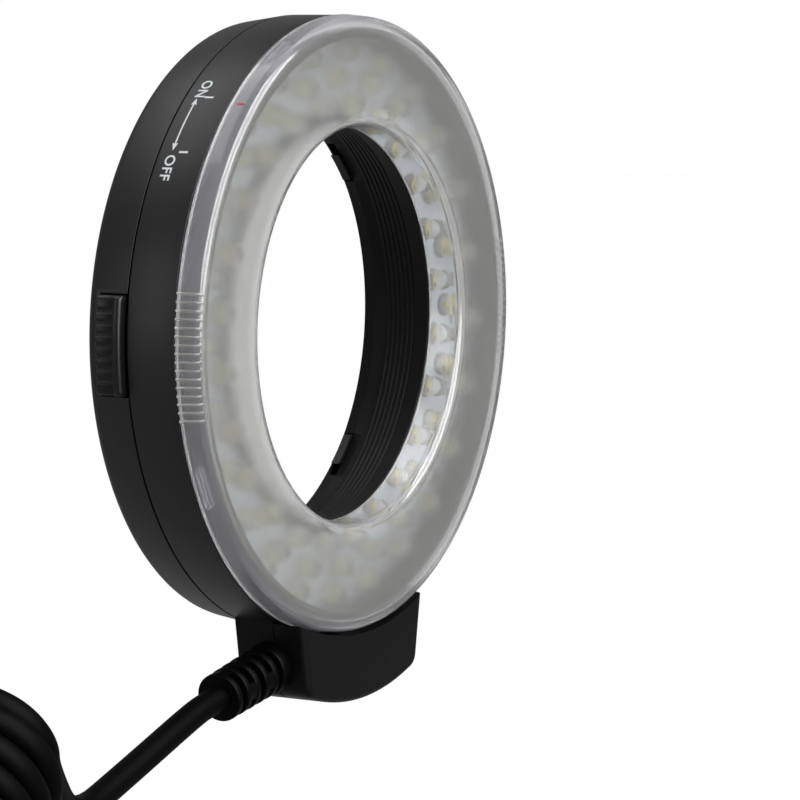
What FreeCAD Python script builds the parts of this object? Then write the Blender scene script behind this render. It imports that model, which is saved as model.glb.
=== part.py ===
import FreeCAD, Part
import math
import os
import re
import Sketcher
from FreeCAD import Placement, Rotation, Vector

# Ring flash: a ring of light for close-up work that sits round the front of a lens. The lens
# looks through the bore. The origin is the middle of the bore's adapter seat, on the lens axis.
# +Y points along the lens axis to the camera, so the light shines towards -Y. +Z is up and the
# terminal block and its cord are at -Z. All sizes are in millimetres.

# Driving sizes: alias, value, what it is
SIZES = (
    ("shell_radius", 60.4, "outside of both shells at their seam"),
    ("shell_taper", 1.4, "how much narrower the rear cover is at its rear face"),
    ("shell_wall", 1.8, "wall of the moulded shells"),
    ("rear_depth", 4.7, "seat centre to the rear face"),
    ("rear_shell_depth", 9.9, "rear face to the seam"),
    ("front_shell_depth", 10.9, "seam to the rear edge of the diffuser's rim"),
    ("rear_round", 2.6, "rounding of the rear cover's outer edge"),
    ("rear_plate", 1.5, "thickness of the rear cover's plate"),
    ("floor_plate", 1.5, "thickness of the front shell's floor"),
    ("running_gap", 0.3, "gap beside a part that moves"),
    ("fit_gap", 0.15, "gap between parts that are assembled"),
    ("bore_wall", 1.6, "wall of the lens bore"),
    ("seat_radius", 42.9, "bore of the adapter seat"),
    ("seat_length", 3.0, "length of the adapter seat"),
    ("bore_flare", 1.4, "how much wider than the seat the bore is at its rear"),
    ("bore_narrowing", 4.0, "how much narrower than the seat the bore is at its front"),
    ("groove_pitch", 1.35, "spacing of the anti-glare grooves"),
    ("groove_width", 0.6, "mouth of an anti-glare groove"),
    ("groove_depth", 0.4, "depth of an anti-glare groove"),
    ("groove_count", 6, "number of anti-glare grooves"),
    ("rim_step", 0.1, "how much wider than the shells the diffuser's rim is"),
    ("rim_taper", 0.5, "how much narrower the rim is at its front face"),
    ("rim_depth", 5.2, "rear edge of the rim to the front face"),
    ("rim_wall", 1.6, "wall of the diffuser's rim"),
    ("rim_round", 2.2, "rounding of the rim's front edge"),
    ("face_wall", 1.6, "thickness of the diffuser's face"),
    ("collar_wall", 1.3, "wall of the inner collar"),
    ("collar_depth", 7.5, "front face to the rear end of the inner collar"),
    ("collar_round", 2.4, "rounding of the collar's front edge"),
    ("knurl_count", 16, "ribs in each of the two grips"),
    ("knurl_pitch", 1.49, "angle between grip ribs"),
    ("knurl_middle", 181.5, "angle of the first grip's middle"),
    ("knurl_radius", 0.5, "radius of a grip rib"),
    ("knurl_stand", 0.15, "how far a grip rib stands proud of the rim's rear edge"),
    ("lug_count", 4, "bayonet lugs"),
    ("lug_middle", -153.5, "angle of the first lug's middle"),
    ("lug_angle", 8.0, "angle that one lug covers"),
    ("lug_length", 1.2, "length of a lug along the axis"),
    ("lug_height", 1.2, "height of a spigot lug"),
    ("spigot_wall", 1.0, "wall of the spigot"),
    ("board_setback", 3.8, "rear edge of the rim to the lamp board"),
    ("board_thickness", 1.6, "lamp board"),
    ("ledge_width", 1.2, "ledge under the edge of the lamp board"),
    ("component_room", 2.0, "space between the lamp board and the floor"),
    ("lamp_radius", 2.4, "body of a lamp"),
    ("lamp_height", 4.6, "lamp above the board"),
    ("lamp_shoulder", 3.3, "straight part of a lamp"),
    ("lamp_tip_radius", 1.4, "flat tip of a lamp"),
    ("lamps_per_row", 24, "lamps in each row"),
    ("inner_row_angle", 8.0, "angle of the inner row's first lamp"),
    ("middle_row_angle", 0.5, "angle of the middle row's first lamp"),
    ("outer_row_angle", 12.0, "angle of the outer row's first lamp"),
    ("block_half_width", 23.6, "half width of the terminal block at its shoulder"),
    ("block_setback", 0.6, "front of the diffuser to the block's front"),
    ("block_taper", 0.1655, "how far each side leans in for each unit downwards"),
    ("block_reach", 13.8, "how far the block reaches below the shells"),
    ("block_arc_radius", 60.0, "arc of the block's underside"),
    ("block_corner", 3.2, "rounding of the block's lower corners"),
    ("block_edge", 1.2, "rounding of the block cover's front edge"),
    ("block_cover_depth", 6.8, "depth of the block's front cover"),
    ("block_wall", 1.8, "wall of the block"),
    ("screw_angle", 20.0, "angle of each cover screw from the vertical"),
    ("screw_radius", 1.1, "shank of a screw"),
    ("screw_length", 9.0, "shank below the head"),
    ("head_radius", 2.0, "head of a screw"),
    ("head_height", 0.8, "thickness of a screw's head"),
    ("boss_radius", 2.2, "boss that a screw goes into"),
    ("block_screw_side", 13.0, "sideways place of the block's screws"),
    ("slider_width", 3.5, "radial width of a latch slider"),
    ("slider_thickness", 1.25, "thickness of a latch slider"),
    ("latch_travel", 1.8, "how far a latch button goes in"),
    ("claw_low", 26.5, "nearer side of a claw above the axis"),
    ("claw_width", 5.3, "width of a claw"),
    ("claw_reach", 0.5, "how far a claw reaches inside the seat's radius"),
    ("claw_tip_length", 1.6, "radial length of a claw's raised tip"),
    ("claw_tip_rise", 0.5, "how far the tip rises over its arm"),
    ("claw_notch_front", 1.3, "front of the notches in the bore"),
    ("claw_notch_rear", 4.0, "rear of the notches in the bore"),
    ("claw_notch_width", 8.0, "width of the notches in the bore"),
    ("button_half_width", 9.3, "half width of a latch button"),
    ("button_depth", 6.0, "button along the axis"),
    ("button_rim_depth", 1.7, "smooth front rim of a button"),
    ("button_rib_pitch", 2.15, "spacing of a button's grooves"),
    ("button_groove_radius", 0.5, "radius of a button's grooves"),
    ("button_flange_wall", 1.3, "thickness of a button's flange"),
    ("button_flange_side", 1.4, "how far a flange reaches past its button"),
    ("spring_radius", 1.7, "outside of a latch spring"),
    ("spring_wire", 0.5, "wire of a latch spring"),
    ("spring_room", 7.0, "length of a latch spring at rest"),
    ("spring_peg_radius", 0.9, "peg inside a latch spring"),
    ("spring_peg_length", 2.6, "length of the peg"),
    ("guide_angle", 12.0, "angle that one slider guide covers"),
    ("guide_place", 30.0, "angle of a slider guide from the vertical"),
    ("connector_width", 7.0, "board connector"),
    ("connector_height", 3.4, "board connector, up and down"),
    ("connector_depth", 4.3, "board connector along the axis"),
    ("wire_radius", 0.6, "wire to the lamp board"),
    ("wire_spacing", 2.6, "spacing of the two wires"),
    ("terminal_width", 18.0, "terminal board"),
    ("terminal_height", 7.0, "terminal board, up and down"),
    ("terminal_thickness", 1.2, "terminal board"),
    ("relief_setback", 1.3, "strain relief's middle behind the block's seam"),
    ("relief_length", 19.0, "strain relief outside the block"),
    ("relief_base_radius", 5.0, "strain relief at the block"),
    ("relief_tip_radius", 4.7, "strain relief at its tip"),
    ("relief_core_radius", 2.9, "strain relief at the bottom of its slots"),
    ("relief_neck_radius", 3.2, "strain relief in the block's wall"),
    ("relief_flange_radius", 3.7, "strain relief inside the wall"),
    ("relief_flange", 1.6, "thickness of the inner flange"),
    ("relief_slot", 1.5, "width of a slot"),
    ("relief_slot_pitch", 3.2, "spacing of the slots"),
    ("relief_first_slot", 3.2, "length of the base ring"),
    ("relief_slot_rows", 5, "rows of slots"),
    ("relief_slot_angle", 140.0, "angle that one slot covers"),
    ("conductor_radius", 1.2, "bundle of conductors inside the block"),
    ("cord_diameter", 5.1, "cord"),
    ("curl_radius", 14.0, "middle of the cord to the middle of a curl"),
    ("curl_pitch", 5.6, "spacing of the first curls"),
    ("droop_pitch", 7.75, "spacing of the curls where the coil droops"),
    ("straight_curls", 5, "curls before the coil droops"),
    ("droop_curls", 5, "curls in the drooping part"),
    ("plug_body_radius", 4.6, "grip of the plug"),
    ("plug_body_length", 17.0, "grip of the plug"),
    ("plug_boot_length", 11.0, "boot of the plug"),
    ("plug_boot_radius", 3.4, "thin end of the boot"),
    ("plug_collar_radius", 3.1, "shoulder in front of the contacts"),
    ("plug_collar_length", 1.2, "shoulder in front of the contacts"),
    ("contact_radius", 1.75, "contacts of the plug"),
    ("contact_sleeve", 7.0, "sleeve contact"),
    ("contact_ring", 2.4, "ring contact"),
    ("contact_tip", 3.6, "tip contact"),
    ("contact_gap", 0.6, "insulator between contacts"),
)

# Sizes that follow from the driving ones, so that a change of one size carries its neighbours along
DERIVED = {
    "shell_rear_radius": "shell_radius - shell_taper",
    "bore_rear_radius": "seat_radius + bore_flare",
    "bore_front_radius": "seat_radius - bore_narrowing",
    "rim_radius": "shell_radius + rim_step",
    "rim_front_radius": "rim_radius - rim_taper",
    "collar_radius": "bore_front_radius - 0.1",
    "spigot_radius": "rim_front_radius - rim_wall - lug_height - 0.2",
    "board_inner_radius": "bore_front_radius + bore_wall + 1.4",
    "inner_row_radius": "collar_radius + collar_wall + lamp_radius + 0.7",
    "outer_row_radius": "spigot_radius - spigot_wall - lamp_radius - 0.3",
    "middle_row_radius": "(inner_row_radius + outer_row_radius) / 2",
    "button_radius": "shell_radius + 1.8",
    "button_rib_radius": "shell_radius + 1.1",
    "button_flange_radius": "shell_radius - shell_wall - 1.3",
    "slider_outer_radius": "button_flange_radius - button_flange_wall - 0.6",
    "slider_inner_radius": "slider_outer_radius - slider_width",
    "screw_circle": "slider_inner_radius - 3.4",
    "claw_radius": "seat_radius - claw_reach",
    "block_depth": "shell_radius + block_reach",
    "block_shoulder": "shell_radius - 4.4",
    "block_screw_drop": "block_depth - 5.6",
    "connector_drop": "shell_radius - 10.4",
    "terminal_drop": "shell_radius + 3.1",
    "relief_drop": "block_shoulder + 8.8",
}

GLARE_MARGIN = 1.1
HAND = 1
LAMP_SIDES = 8
CORD_SIDES = 6

document = FreeCAD.newDocument("ring_flash")
sheet = document.addObject("Spreadsheet::Sheet", "Sizes")
for row, (alias, number, meaning) in enumerate(SIZES, start=1):
    sheet.set(f"A{row}", meaning)
    sheet.set(f"B{row}", str(number))
    sheet.setAlias(f"B{row}", alias)
document.recompute()
ALIASES = {alias for alias, number, meaning in SIZES}
nodes = []


def bound(words):
    """Turn words that name sizes into an expression on the spreadsheet."""
    return re.sub(r"[a-z_]+", spelled, str(words))


def spelled(found):
    """Spell out one word of an expression: a driving size, a size that follows from others, or a function."""
    word = found[0]
    if word in DERIVED:
        return f"({bound(DERIVED[word])})"
    return f"Sizes.{word}" if word in ALIASES else word


def value(words):
    """Work out an expression of sizes as a number."""
    result = sheet.evalExpression(bound(words))
    return float(getattr(result, "Value", result))


def bind(thing, **properties):
    """Bind properties of a document object to expressions of sizes."""
    for name, words in properties.items():
        thing.setExpression(name.replace("_at_", "."), bound(words))


def node(thing, label):
    """Name a finished piece and list it for export."""
    thing.Label = label
    nodes.append(thing)
    return thing


# Places along the lens axis, from the rear to the front
REAR = "rear_depth"
PLATE = "(rear_depth - rear_plate)"
SEAM = "(rear_depth - rear_shell_depth)"
RIM = "(rear_depth - rear_shell_depth - front_shell_depth)"
FACE = f"({RIM} - rim_depth)"
SHELL_FRONT = f"({RIM} + running_gap)"
SPIGOT_FRONT = f"({FACE} + face_wall + running_gap + fit_gap)"
BOARD_FRONT = f"({RIM} + board_setback)"
BOARD_REAR = f"({BOARD_FRONT} + board_thickness)"
FLOOR_FRONT = f"({BOARD_REAR} + component_room)"
FLOOR_REAR = f"({FLOOR_FRONT} + floor_plate)"
COLLAR_REAR = f"({FACE} + collar_depth)"
BORE_FRONT = f"({COLLAR_REAR} + running_gap)"
BLOCK_FRONT = f"({FACE} + block_setback)"
BLOCK_SEAM = f"({BLOCK_FRONT} + block_cover_depth)"
SLIDER_REAR = f"({PLATE} - 0.25)"
SLIDER_FRONT = f"({SLIDER_REAR} - 2 * slider_thickness - running_gap)"


def sketch_on(body, label, role, points, offset="0"):
    """Draw a closed outline whose corners are bound to sizes, on one of the body's own planes."""
    sketch = body.newObject("Sketcher::SketchObject", label)
    plane = [feature for feature in body.Origin.OriginFeatures if feature.Role == role][0]
    sketch.AttachmentSupport = [(plane, "")]
    sketch.MapMode = "FlatFace"
    sketch.setExpression("AttachmentOffset.Base.z", bound(offset))
    corners = [Vector(value(across), value(along), 0) for across, along in points]
    for start, end in zip(corners, corners[1:] + corners[:1]):
        sketch.addGeometry(Part.LineSegment(start, end), False)
    for index in range(len(points)):
        sketch.addConstraint(Sketcher.Constraint("Coincident", index, 2, (index + 1) % len(points), 1))
    for index, (corner, words) in enumerate(zip(corners, points)):
        for kind, size, place in (("DistanceX", corner.x, words[0]), ("DistanceY", corner.y, words[1])):
            number = sketch.addConstraint(Sketcher.Constraint(kind, -1, 1, index, 1, size))
            sketch.setExpression(f"Constraints[{number}]", bound(place))
    return sketch


def turned(label, points):
    """Turn an outline of (radius, place) corners round the lens axis."""
    body = document.addObject("PartDesign::Body", label)
    profile = sketch_on(body, f"{label}_profile", "XY_Plane", points)
    turn = body.newObject("PartDesign::Revolution", f"{label}_turn")
    turn.Profile = profile
    turn.ReferenceAxis = (profile, ["V_Axis"])
    turn.Angle = 360
    document.recompute()
    return body


def prism(label, points, front, rear):
    """Pad an outline of (x, z) corners along the lens axis from front to rear."""
    body = document.addObject("PartDesign::Body", label)
    profile = sketch_on(body, f"{label}_profile", "XZ_Plane", points, f"-({rear})")
    pad = body.newObject("PartDesign::Pad", f"{label}_pad")
    pad.Profile = profile
    bind(pad, Length=f"{rear} - ({front})")
    document.recompute()
    return body


def rounded(body, label, radius, places):
    """Fillet the circular edges of a turned body at given (radius, place) points."""
    shape = body.Shape
    names = []
    for across, along in places:
        target = (value(across), value(along))
        for number, edge in enumerate(shape.Edges, start=1):
            centre = getattr(edge.Curve, "Center", None)
            if centre and abs(edge.Curve.Radius - target[0]) < 0.01 and abs(centre.y - target[1]) < 0.01:
                names.append(f"Edge{number}")
    base = body.Tip
    fillet = body.newObject("PartDesign::Fillet", label)
    fillet.Base = (base, names)
    bind(fillet, Radius=radius)
    document.recompute()
    return body


def cylinder(label, radius, front, rear, across="0", up="0", sweep=None, start="0"):
    """Stand a cylinder, or a sector that starts at an angle and runs clockwise, along the lens axis."""
    rod = document.addObject("Part::Cylinder", label)
    bind(rod, Radius=radius, Height=f"{rear} - ({front})")
    rod.Placement = Placement(Vector(), Rotation(Vector(0, 1, 0), -value(start)) * Rotation(Vector(1, 0, 0), -90))
    bind(rod, Placement_at_Base_at_x=across, Placement_at_Base_at_y=front, Placement_at_Base_at_z=up)
    if sweep:
        bind(rod, Angle=sweep)
    return rod


def hexagon_rod(label, radius, front, rear, across, up):
    """Stand a six-sided rod along the lens axis."""
    rod = document.addObject("Part::Prism", label)
    rod.Polygon = 6
    bind(rod, Circumradius=radius, Height=f"{rear} - ({front})")
    rod.Placement = Placement(Vector(), Rotation(Vector(1, 0, 0), -90))
    bind(rod, Placement_at_Base_at_x=across, Placement_at_Base_at_y=front, Placement_at_Base_at_z=up)
    return rod


def box(label, low, high):
    """Make a block between two corners."""
    block = document.addObject("Part::Box", label)
    bind(block, Length=f"{high[0]} - ({low[0]})", Width=f"{high[1]} - ({low[1]})", Height=f"{high[2]} - ({low[2]})")
    bind(block, Placement_at_Base_at_x=low[0], Placement_at_Base_at_y=low[1], Placement_at_Base_at_z=low[2])
    return block


def joined(label, *parts):
    """Fuse parts into one."""
    fuse = document.addObject("Part::MultiFuse", label)
    fuse.Shapes = list(parts)
    fuse.Refine = True
    return fuse


def cut(label, base, *tools):
    """Cut tools out of a part, one after another."""
    for number, tool in enumerate(tools, start=1):
        name = label if number == len(tools) else f"{label}_cut_{number}"
        difference = document.addObject("Part::Cut", name)
        difference.Base = base
        difference.Tool = tool
        difference.Refine = True
        base = difference
    return base


def common(label, first, second):
    """Keep what two parts share."""
    shared = document.addObject("Part::Common", label)
    shared.Base = first
    shared.Tool = second
    shared.Refine = True
    return shared


def ring(label, inner, outer, front, rear, sweep=None, start="0"):
    """Make a flat ring, or a sector of one, round the lens axis."""
    disc = cylinder(f"{label}_disc", outer, front, rear, sweep=sweep, start=start)
    return cut(label, disc, cylinder(f"{label}_hole", inner, f"({front}) - 1", f"({rear}) + 1"))


def fixed(label, shape):
    """Keep a shape that was worked out from the sizes in code."""
    feature = document.addObject("Part::Feature", label)
    feature.Shape = shape
    return feature


def group(label, things):
    """Gather parts that don't touch in one compound."""
    compound = document.addObject("Part::Compound", label)
    compound.Links = list(things)
    return compound


def around(angle, radius):
    """Give the (x, z) expressions of a point on a circle round the lens axis."""
    return f"{radius} * cos({angle})", f"{radius} * sin({angle})"


def lug_ring(label, inner, outer, front, rear):
    """Make the evenly spaced lugs of one half of the bayonet."""
    turns = range(int(value("lug_count")))
    return [ring(f"{label}_{turn}", inner, outer, front, rear, sweep="lug_angle",
                 start=f"lug_middle + lug_angle / 2 + {turn} * 360 / lug_count") for turn in turns]


def block_outline(label, front, rear, inset):
    """Make the terminal block's outline: leaning sides and an underside round the lens axis."""
    top = "(block_shoulder - 12)"
    low = "(block_depth + 4)"
    wide = f"(block_half_width + block_taper * 12 - {inset})"
    slim = f"(block_half_width - block_taper * ({low} - block_shoulder) - {inset})"
    corners = ((f"-{wide}", f"-{top}"), (wide, f"-{top}"), (slim, f"-{low}"), (f"-{slim}", f"-{low}"))
    sides = prism(f"{label}_sides", corners, front, rear)
    arc = cylinder(f"{label}_arc", f"block_arc_radius - {inset}", front, rear, up="block_arc_radius - block_depth")
    return common(label, sides, arc)


def fillet_along_axis(label, part, radius, drop):
    """Fillet the edges of a part that run along the lens axis below a given depth."""
    document.recompute()
    fillet = document.addObject("Part::Fillet", label)
    fillet.Base = part
    size = value(radius)
    chosen = []
    for number, edge in enumerate(part.Shape.Edges, start=1):
        ends = [vertex.Point for vertex in edge.Vertexes]
        along = len(ends) == 2 and abs(ends[0].x - ends[1].x) + abs(ends[0].z - ends[1].z) < 1e-6
        if along and ends[0].z < -value(drop):
            chosen.append((number, size, size))
    fillet.Edges = chosen
    return fillet


def rear_cover():
    """Rear cover: tapered wall, flat plate with the bore's hole, button windows and screw recesses."""
    hole = "(bore_rear_radius + bore_wall + fit_gap)"
    shell = turned("rear_cover_turned", (
        ("shell_radius", SEAM), ("shell_rear_radius", REAR), (hole, REAR), (hole, PLATE),
        ("shell_rear_radius - shell_wall", PLATE), ("shell_radius - shell_wall", SEAM)))
    rounded(shell, "rear_cover_round", "rear_round", (("shell_rear_radius", REAR),))
    side = "(button_half_width + running_gap)"
    windows = [box(f"button_window_{name}", (low, f"{SEAM} - 1", f"-{side}"),
                   (high, f"{SEAM} + running_gap + button_depth + running_gap", side))
               for name, low, high in (("left", "-70", "-50"), ("right", "50", "70"))]
    recesses = [cylinder(f"cover_recess_{number}", "head_radius + fit_gap", f"{REAR} - head_height - 0.1", f"{REAR} + 1",
                         *around(angle, "screw_circle")) for number, angle in enumerate(cover_screw_angles())]
    holes = [cylinder(f"cover_hole_{number}", "screw_radius + fit_gap", f"{PLATE} - 1", f"{REAR} + 1",
                      *around(angle, "screw_circle")) for number, angle in enumerate(cover_screw_angles())]
    node(cut("rear_cover", shell, *windows, group("cover_recesses", recesses), group("cover_holes", holes)), "rear_cover")


def cover_screw_angles():
    """Angles of the rear cover's four screws, two each side of the vertical."""
    return [f"({base} {sign} screw_angle)" for base in (90, 270) for sign in ("+", "-")]


def bore_radius_at(place):
    """Inside radius of the conical bore at a place along the axis."""
    slope = f"(bore_rear_radius - bore_front_radius) / ({REAR} - {BORE_FRONT})"
    return f"(bore_front_radius + ({place} - {BORE_FRONT}) * {slope})"


def front_shell():
    """Front shell: wall, floor, spigot with bayonet lugs, screw bosses, slider guides and the block's rear half."""
    inner_floor = f"({bore_radius_at(FLOOR_REAR)} + bore_wall + fit_gap)"
    spigot_inner = "(spigot_radius - spigot_wall)"
    ledge = f"({spigot_inner} - ledge_width)"
    inside = "(shell_radius - shell_wall)"
    shell = turned("front_shell_turned", (
        ("shell_radius", SEAM), ("shell_radius", SHELL_FRONT), ("spigot_radius", SHELL_FRONT),
        ("spigot_radius", SPIGOT_FRONT), (spigot_inner, SPIGOT_FRONT), (spigot_inner, BOARD_REAR),
        (ledge, BOARD_REAR), (ledge, FLOOR_FRONT), (inner_floor, FLOOR_FRONT), (inner_floor, FLOOR_REAR),
        (inside, FLOOR_REAR), (inside, SEAM)))
    lugs = lug_ring("spigot_lug", "spigot_radius - 0.5", "spigot_radius + lug_height", SPIGOT_FRONT,
                    f"{SPIGOT_FRONT} + lug_length")
    bosses = [cylinder(f"cover_boss_{number}", "boss_radius", f"{FLOOR_REAR} - 0.5", PLATE,
                       *around(angle, "screw_circle")) for number, angle in enumerate(cover_screw_angles())]
    guides = [ring(f"slider_guide_{number}", "slider_inner_radius + 0.8", "slider_outer_radius - 0.8",
                   f"{FLOOR_REAR} - 0.5", f"{SLIDER_FRONT} - running_gap", sweep="guide_angle",
                   start=f"({base} {sign} guide_place + guide_angle / 2)")
              for number, (base, sign) in enumerate(((90, "+"), (90, "-"), (270, "+"), (270, "-")))]
    inner_end = "(button_flange_radius - button_flange_wall - fit_gap - spring_room)"
    stops = [box(f"spring_stop_{name}", (low, f"{FLOOR_REAR} - 0.5", "-spring_radius - 0.8"),
                 (high, f"{spring_height()} + spring_radius + 0.3", "spring_radius + 0.8"))
             for name, low, high in (("left", f"-{inner_end}", f"-{inner_end} + 1.6"),
                                     ("right", f"{inner_end} - 1.6", inner_end))]
    block = fillet_along_axis("block_rear_rounded", block_outline("block_rear", BLOCK_SEAM, SEAM, "0"),
                              "block_corner", "block_shoulder")
    block_body = cut("block_rear_body", block, cylinder("block_rear_relief", "shell_radius - 0.6",
                                                        f"{BLOCK_SEAM} - 1", f"{SEAM} + 1"))
    cavity = cut("block_rear_cavity", block_outline("block_rear_inside", f"{BLOCK_SEAM} - 1", f"{SEAM} - block_wall",
                                                    "block_wall"),
                 cylinder("block_rear_roof", "shell_radius + block_wall", f"{BLOCK_SEAM} - 2", f"{SEAM} + 1"))
    hollow = cut("front_shell_hollow", joined("front_shell_whole", shell, block_body, *lugs, *bosses, *guides, *stops), cavity)
    posts = [cylinder(f"block_boss_{name}", "boss_radius", BLOCK_SEAM, f"{SEAM} - block_wall / 2", across, "-block_screw_drop")
             for name, across in (("left", "-block_screw_side"), ("right", "block_screw_side"))]
    holes = [cylinder(f"block_hole_{name}", "screw_radius + fit_gap", f"{BLOCK_SEAM} - 1", f"{SEAM} + 1", across,
                      "-block_screw_drop") for name, across in (("left", "-block_screw_side"), ("right", "block_screw_side"))]
    recesses = [cylinder(f"block_recess_{name}", "head_radius + fit_gap", f"{SEAM} - head_height - 0.1", f"{SEAM} + 1", across,
                         "-block_screw_drop") for name, across in (("left", "-block_screw_side"), ("right", "block_screw_side"))]
    threads = [cylinder(f"cover_thread_{number}", "screw_radius + 0.05", f"{PLATE} - screw_length", f"{PLATE} + 1",
                        *around(angle, "screw_circle")) for number, angle in enumerate(cover_screw_angles())]
    half = "(connector_width / 2 + 0.7)"
    wire_way = box("wire_way", (f"-{half}", f"{FLOOR_FRONT} - 1.2", "-(shell_radius + block_wall + 1)"),
                   (half, f"{FLOOR_REAR} + 1", "-(connector_drop - connector_height / 2 - 0.7)"))
    neck = relief_hole("shell_relief_hole")
    whole = joined("front_shell_with_posts", hollow, *posts)
    node(cut("front_shell", whole, group("block_holes", holes), group("block_recesses", recesses),
             group("cover_threads", threads), wire_way, neck), "front_shell")


def lens_bore():
    """Lens bore: a conical tube with the adapter seat, anti-glare grooves and the notches for the claws."""
    half = "(seat_length / 2)"
    inside = [("bore_rear_radius", REAR), (bore_radius_at(half), half), ("seat_radius", half), ("seat_radius", f"-{half}"),
              (bore_radius_at(f"(0 - {half})"), f"-{half}")]
    for number in range(int(value("groove_count"))):
        middle = f"(0 - {half} - {GLARE_MARGIN} - {number} * groove_pitch)"
        for place, depth in ((f"({middle} + groove_width / 2)", "0"), (middle, "groove_depth"),
                             (f"({middle} - groove_width / 2)", "0")):
            inside.append((f"{bore_radius_at(place)} + {depth}", place))
    inside += [("bore_front_radius", BORE_FRONT), ("bore_front_radius + bore_wall", BORE_FRONT),
               ("bore_rear_radius + bore_wall", REAR)]
    tube = turned("lens_bore_turned", inside)
    notches = []
    for side, low, high in (("left", "-60", "-20"), ("right", "20", "60")):
        for name, base in (("upper", "claw_low - running_gap"), ("lower", "-(claw_low - running_gap + claw_notch_width)")):
            notches.append(box(f"notch_{side}_{name}", (low, "claw_notch_front", base),
                               (high, "claw_notch_rear", f"{base} + claw_notch_width")))
    node(cut("lens_bore", tube, group("notches", notches)), "lens_bore")


def relief_axis():
    """Direction of the strain relief, square to the block's leaning side."""
    lean = math.atan(value("block_taper"))
    return Vector(-math.cos(lean), 0, -math.sin(lean))


def relief_base():
    """Middle of the strain relief on the block's left side, a little behind the block's seam."""
    drop = value("relief_drop")
    across = value("block_half_width") - value("block_taper") * (drop - value("block_shoulder"))
    return Vector(-across, value(f"{BLOCK_SEAM} + relief_setback"), -drop)


def relief_hole(label):
    """Hole for the strain relief's neck through the block's side."""
    start = relief_base() - relief_axis() * 4
    return fixed(label, Part.makeCylinder(value("relief_neck_radius + fit_gap"), 8, start, relief_axis()))


def block_cover():
    """Front cover of the terminal block, hollow, with an arc that clears the turning diffuser."""
    outline = fillet_along_axis("block_cover_corners", block_outline("block_cover_outline", BLOCK_FRONT, BLOCK_SEAM, "0"),
                                "block_corner", "block_shoulder")
    arc = cylinder("block_cover_arc", "rim_radius + running_gap + fit_gap", f"{BLOCK_FRONT} - 1", f"{BLOCK_SEAM} + 1")
    solid = cut("block_cover_solid", outline, arc)
    document.recompute()
    edged = document.addObject("Part::Fillet", "block_cover_edged")
    edged.Base = solid
    front = value(BLOCK_FRONT)
    edge_radius = value("block_edge")
    arc_radius = value("rim_radius + running_gap + fit_gap")
    chosen = []
    for number, edge in enumerate(solid.Shape.Edges, start=1):
        flat = all(abs(vertex.Point.y - front) < 1e-6 for vertex in edge.Vertexes)
        inner = hasattr(edge.Curve, "Radius") and abs(edge.Curve.Radius - arc_radius) < 1e-3
        if flat and not inner and abs(edge.CenterOfMass.y - front) < 1e-6:
            chosen.append((number, edge_radius, edge_radius))
    edged.Edges = chosen
    cavity = cut("block_cover_cavity", block_outline("block_cover_inside", f"{BLOCK_FRONT} + block_wall", f"{BLOCK_SEAM} + 1",
                                                     "block_wall"),
                 cylinder("block_cover_roof", "rim_radius + running_gap + fit_gap + block_wall", BLOCK_FRONT,
                          f"{BLOCK_SEAM} + 2"))
    hollow = cut("block_cover_hollow", edged, cavity)
    posts = [cylinder(f"block_post_{name}", "boss_radius", f"{BLOCK_FRONT} + block_wall / 2", BLOCK_SEAM, across,
                      "-block_screw_drop") for name, across in (("left", "-block_screw_side"), ("right", "block_screw_side"))]
    threads = [cylinder(f"block_thread_{name}", "screw_radius + 0.05", f"{BLOCK_FRONT} + block_wall", f"{BLOCK_SEAM} + 1",
                        across, "-block_screw_drop")
               for name, across in (("left", "-block_screw_side"), ("right", "block_screw_side"))]
    node(cut("block_cover", joined("block_cover_posts", hollow, *posts), group("block_threads", threads),
             relief_hole("cover_relief_hole")), "block_cover")


def diffuser():
    """Diffuser: one moulding with a gripped rim, a face, an inner collar and bayonet lugs."""
    face_inside = f"({FACE} + face_wall)"
    collar_outer = "(collar_radius + collar_wall)"
    cup = turned("diffuser_turned", (
        ("rim_radius", RIM), ("rim_front_radius", FACE), ("collar_radius", FACE), ("collar_radius", COLLAR_REAR),
        (collar_outer, COLLAR_REAR), (collar_outer, face_inside), ("rim_front_radius - rim_wall", face_inside),
        ("rim_radius - rim_wall", RIM)))
    rounded(cup, "diffuser_rim_round", "rim_round", (("rim_front_radius", FACE),))
    rounded(cup, "diffuser_collar_round", "collar_round", (("collar_radius", FACE),))
    lug_front = f"({SPIGOT_FRONT} + lug_length + running_gap)"
    lugs = lug_ring("diffuser_lug", "spigot_radius + running_gap", "rim_radius - rim_wall / 2", lug_front,
                    f"{lug_front} + lug_length")
    ribs = []
    for side in (0, 180):
        for number in range(int(value("knurl_count"))):
            angle = f"(knurl_middle + {side} + ({number} - (knurl_count - 1) / 2) * knurl_pitch)"
            across, up = around(angle, "(rim_radius + knurl_stand - knurl_radius)")
            ribs.append(hexagon_rod(f"knurl_{side}_{number}", "knurl_radius", f"{FACE} + rim_round / 2", RIM, across, up))
    node(joined("diffuser", cup, *lugs, *ribs), "diffuser")


def polygon(centre, radius, sides, first, second):
    """Make a closed polygon round a centre in the plane of two directions."""
    corners = [centre + first * (radius * math.cos(2 * math.pi * side / sides))
               + second * (radius * math.sin(2 * math.pi * side / sides)) for side in range(sides)]
    return Part.makePolygon(corners + corners[:1])


def faceted(sections):
    """Make a solid of flat faces through polygons that have the same number of corners."""
    rings = [[vertex.Point for vertex in section.OrderedVertexes] for section in sections]
    faces = [Part.Face(sections[0]), Part.Face(sections[-1])]
    for lower, upper in zip(rings, rings[1:]):
        for index, corner in enumerate(lower):
            after = (index + 1) % len(lower)
            faces.append(Part.Face(Part.makePolygon([corner, lower[after], upper[after], upper[index], corner])))
    solid = Part.Solid(Part.Shell(faces))
    if solid.Volume < 0:
        solid.reverse()
    return solid


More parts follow.
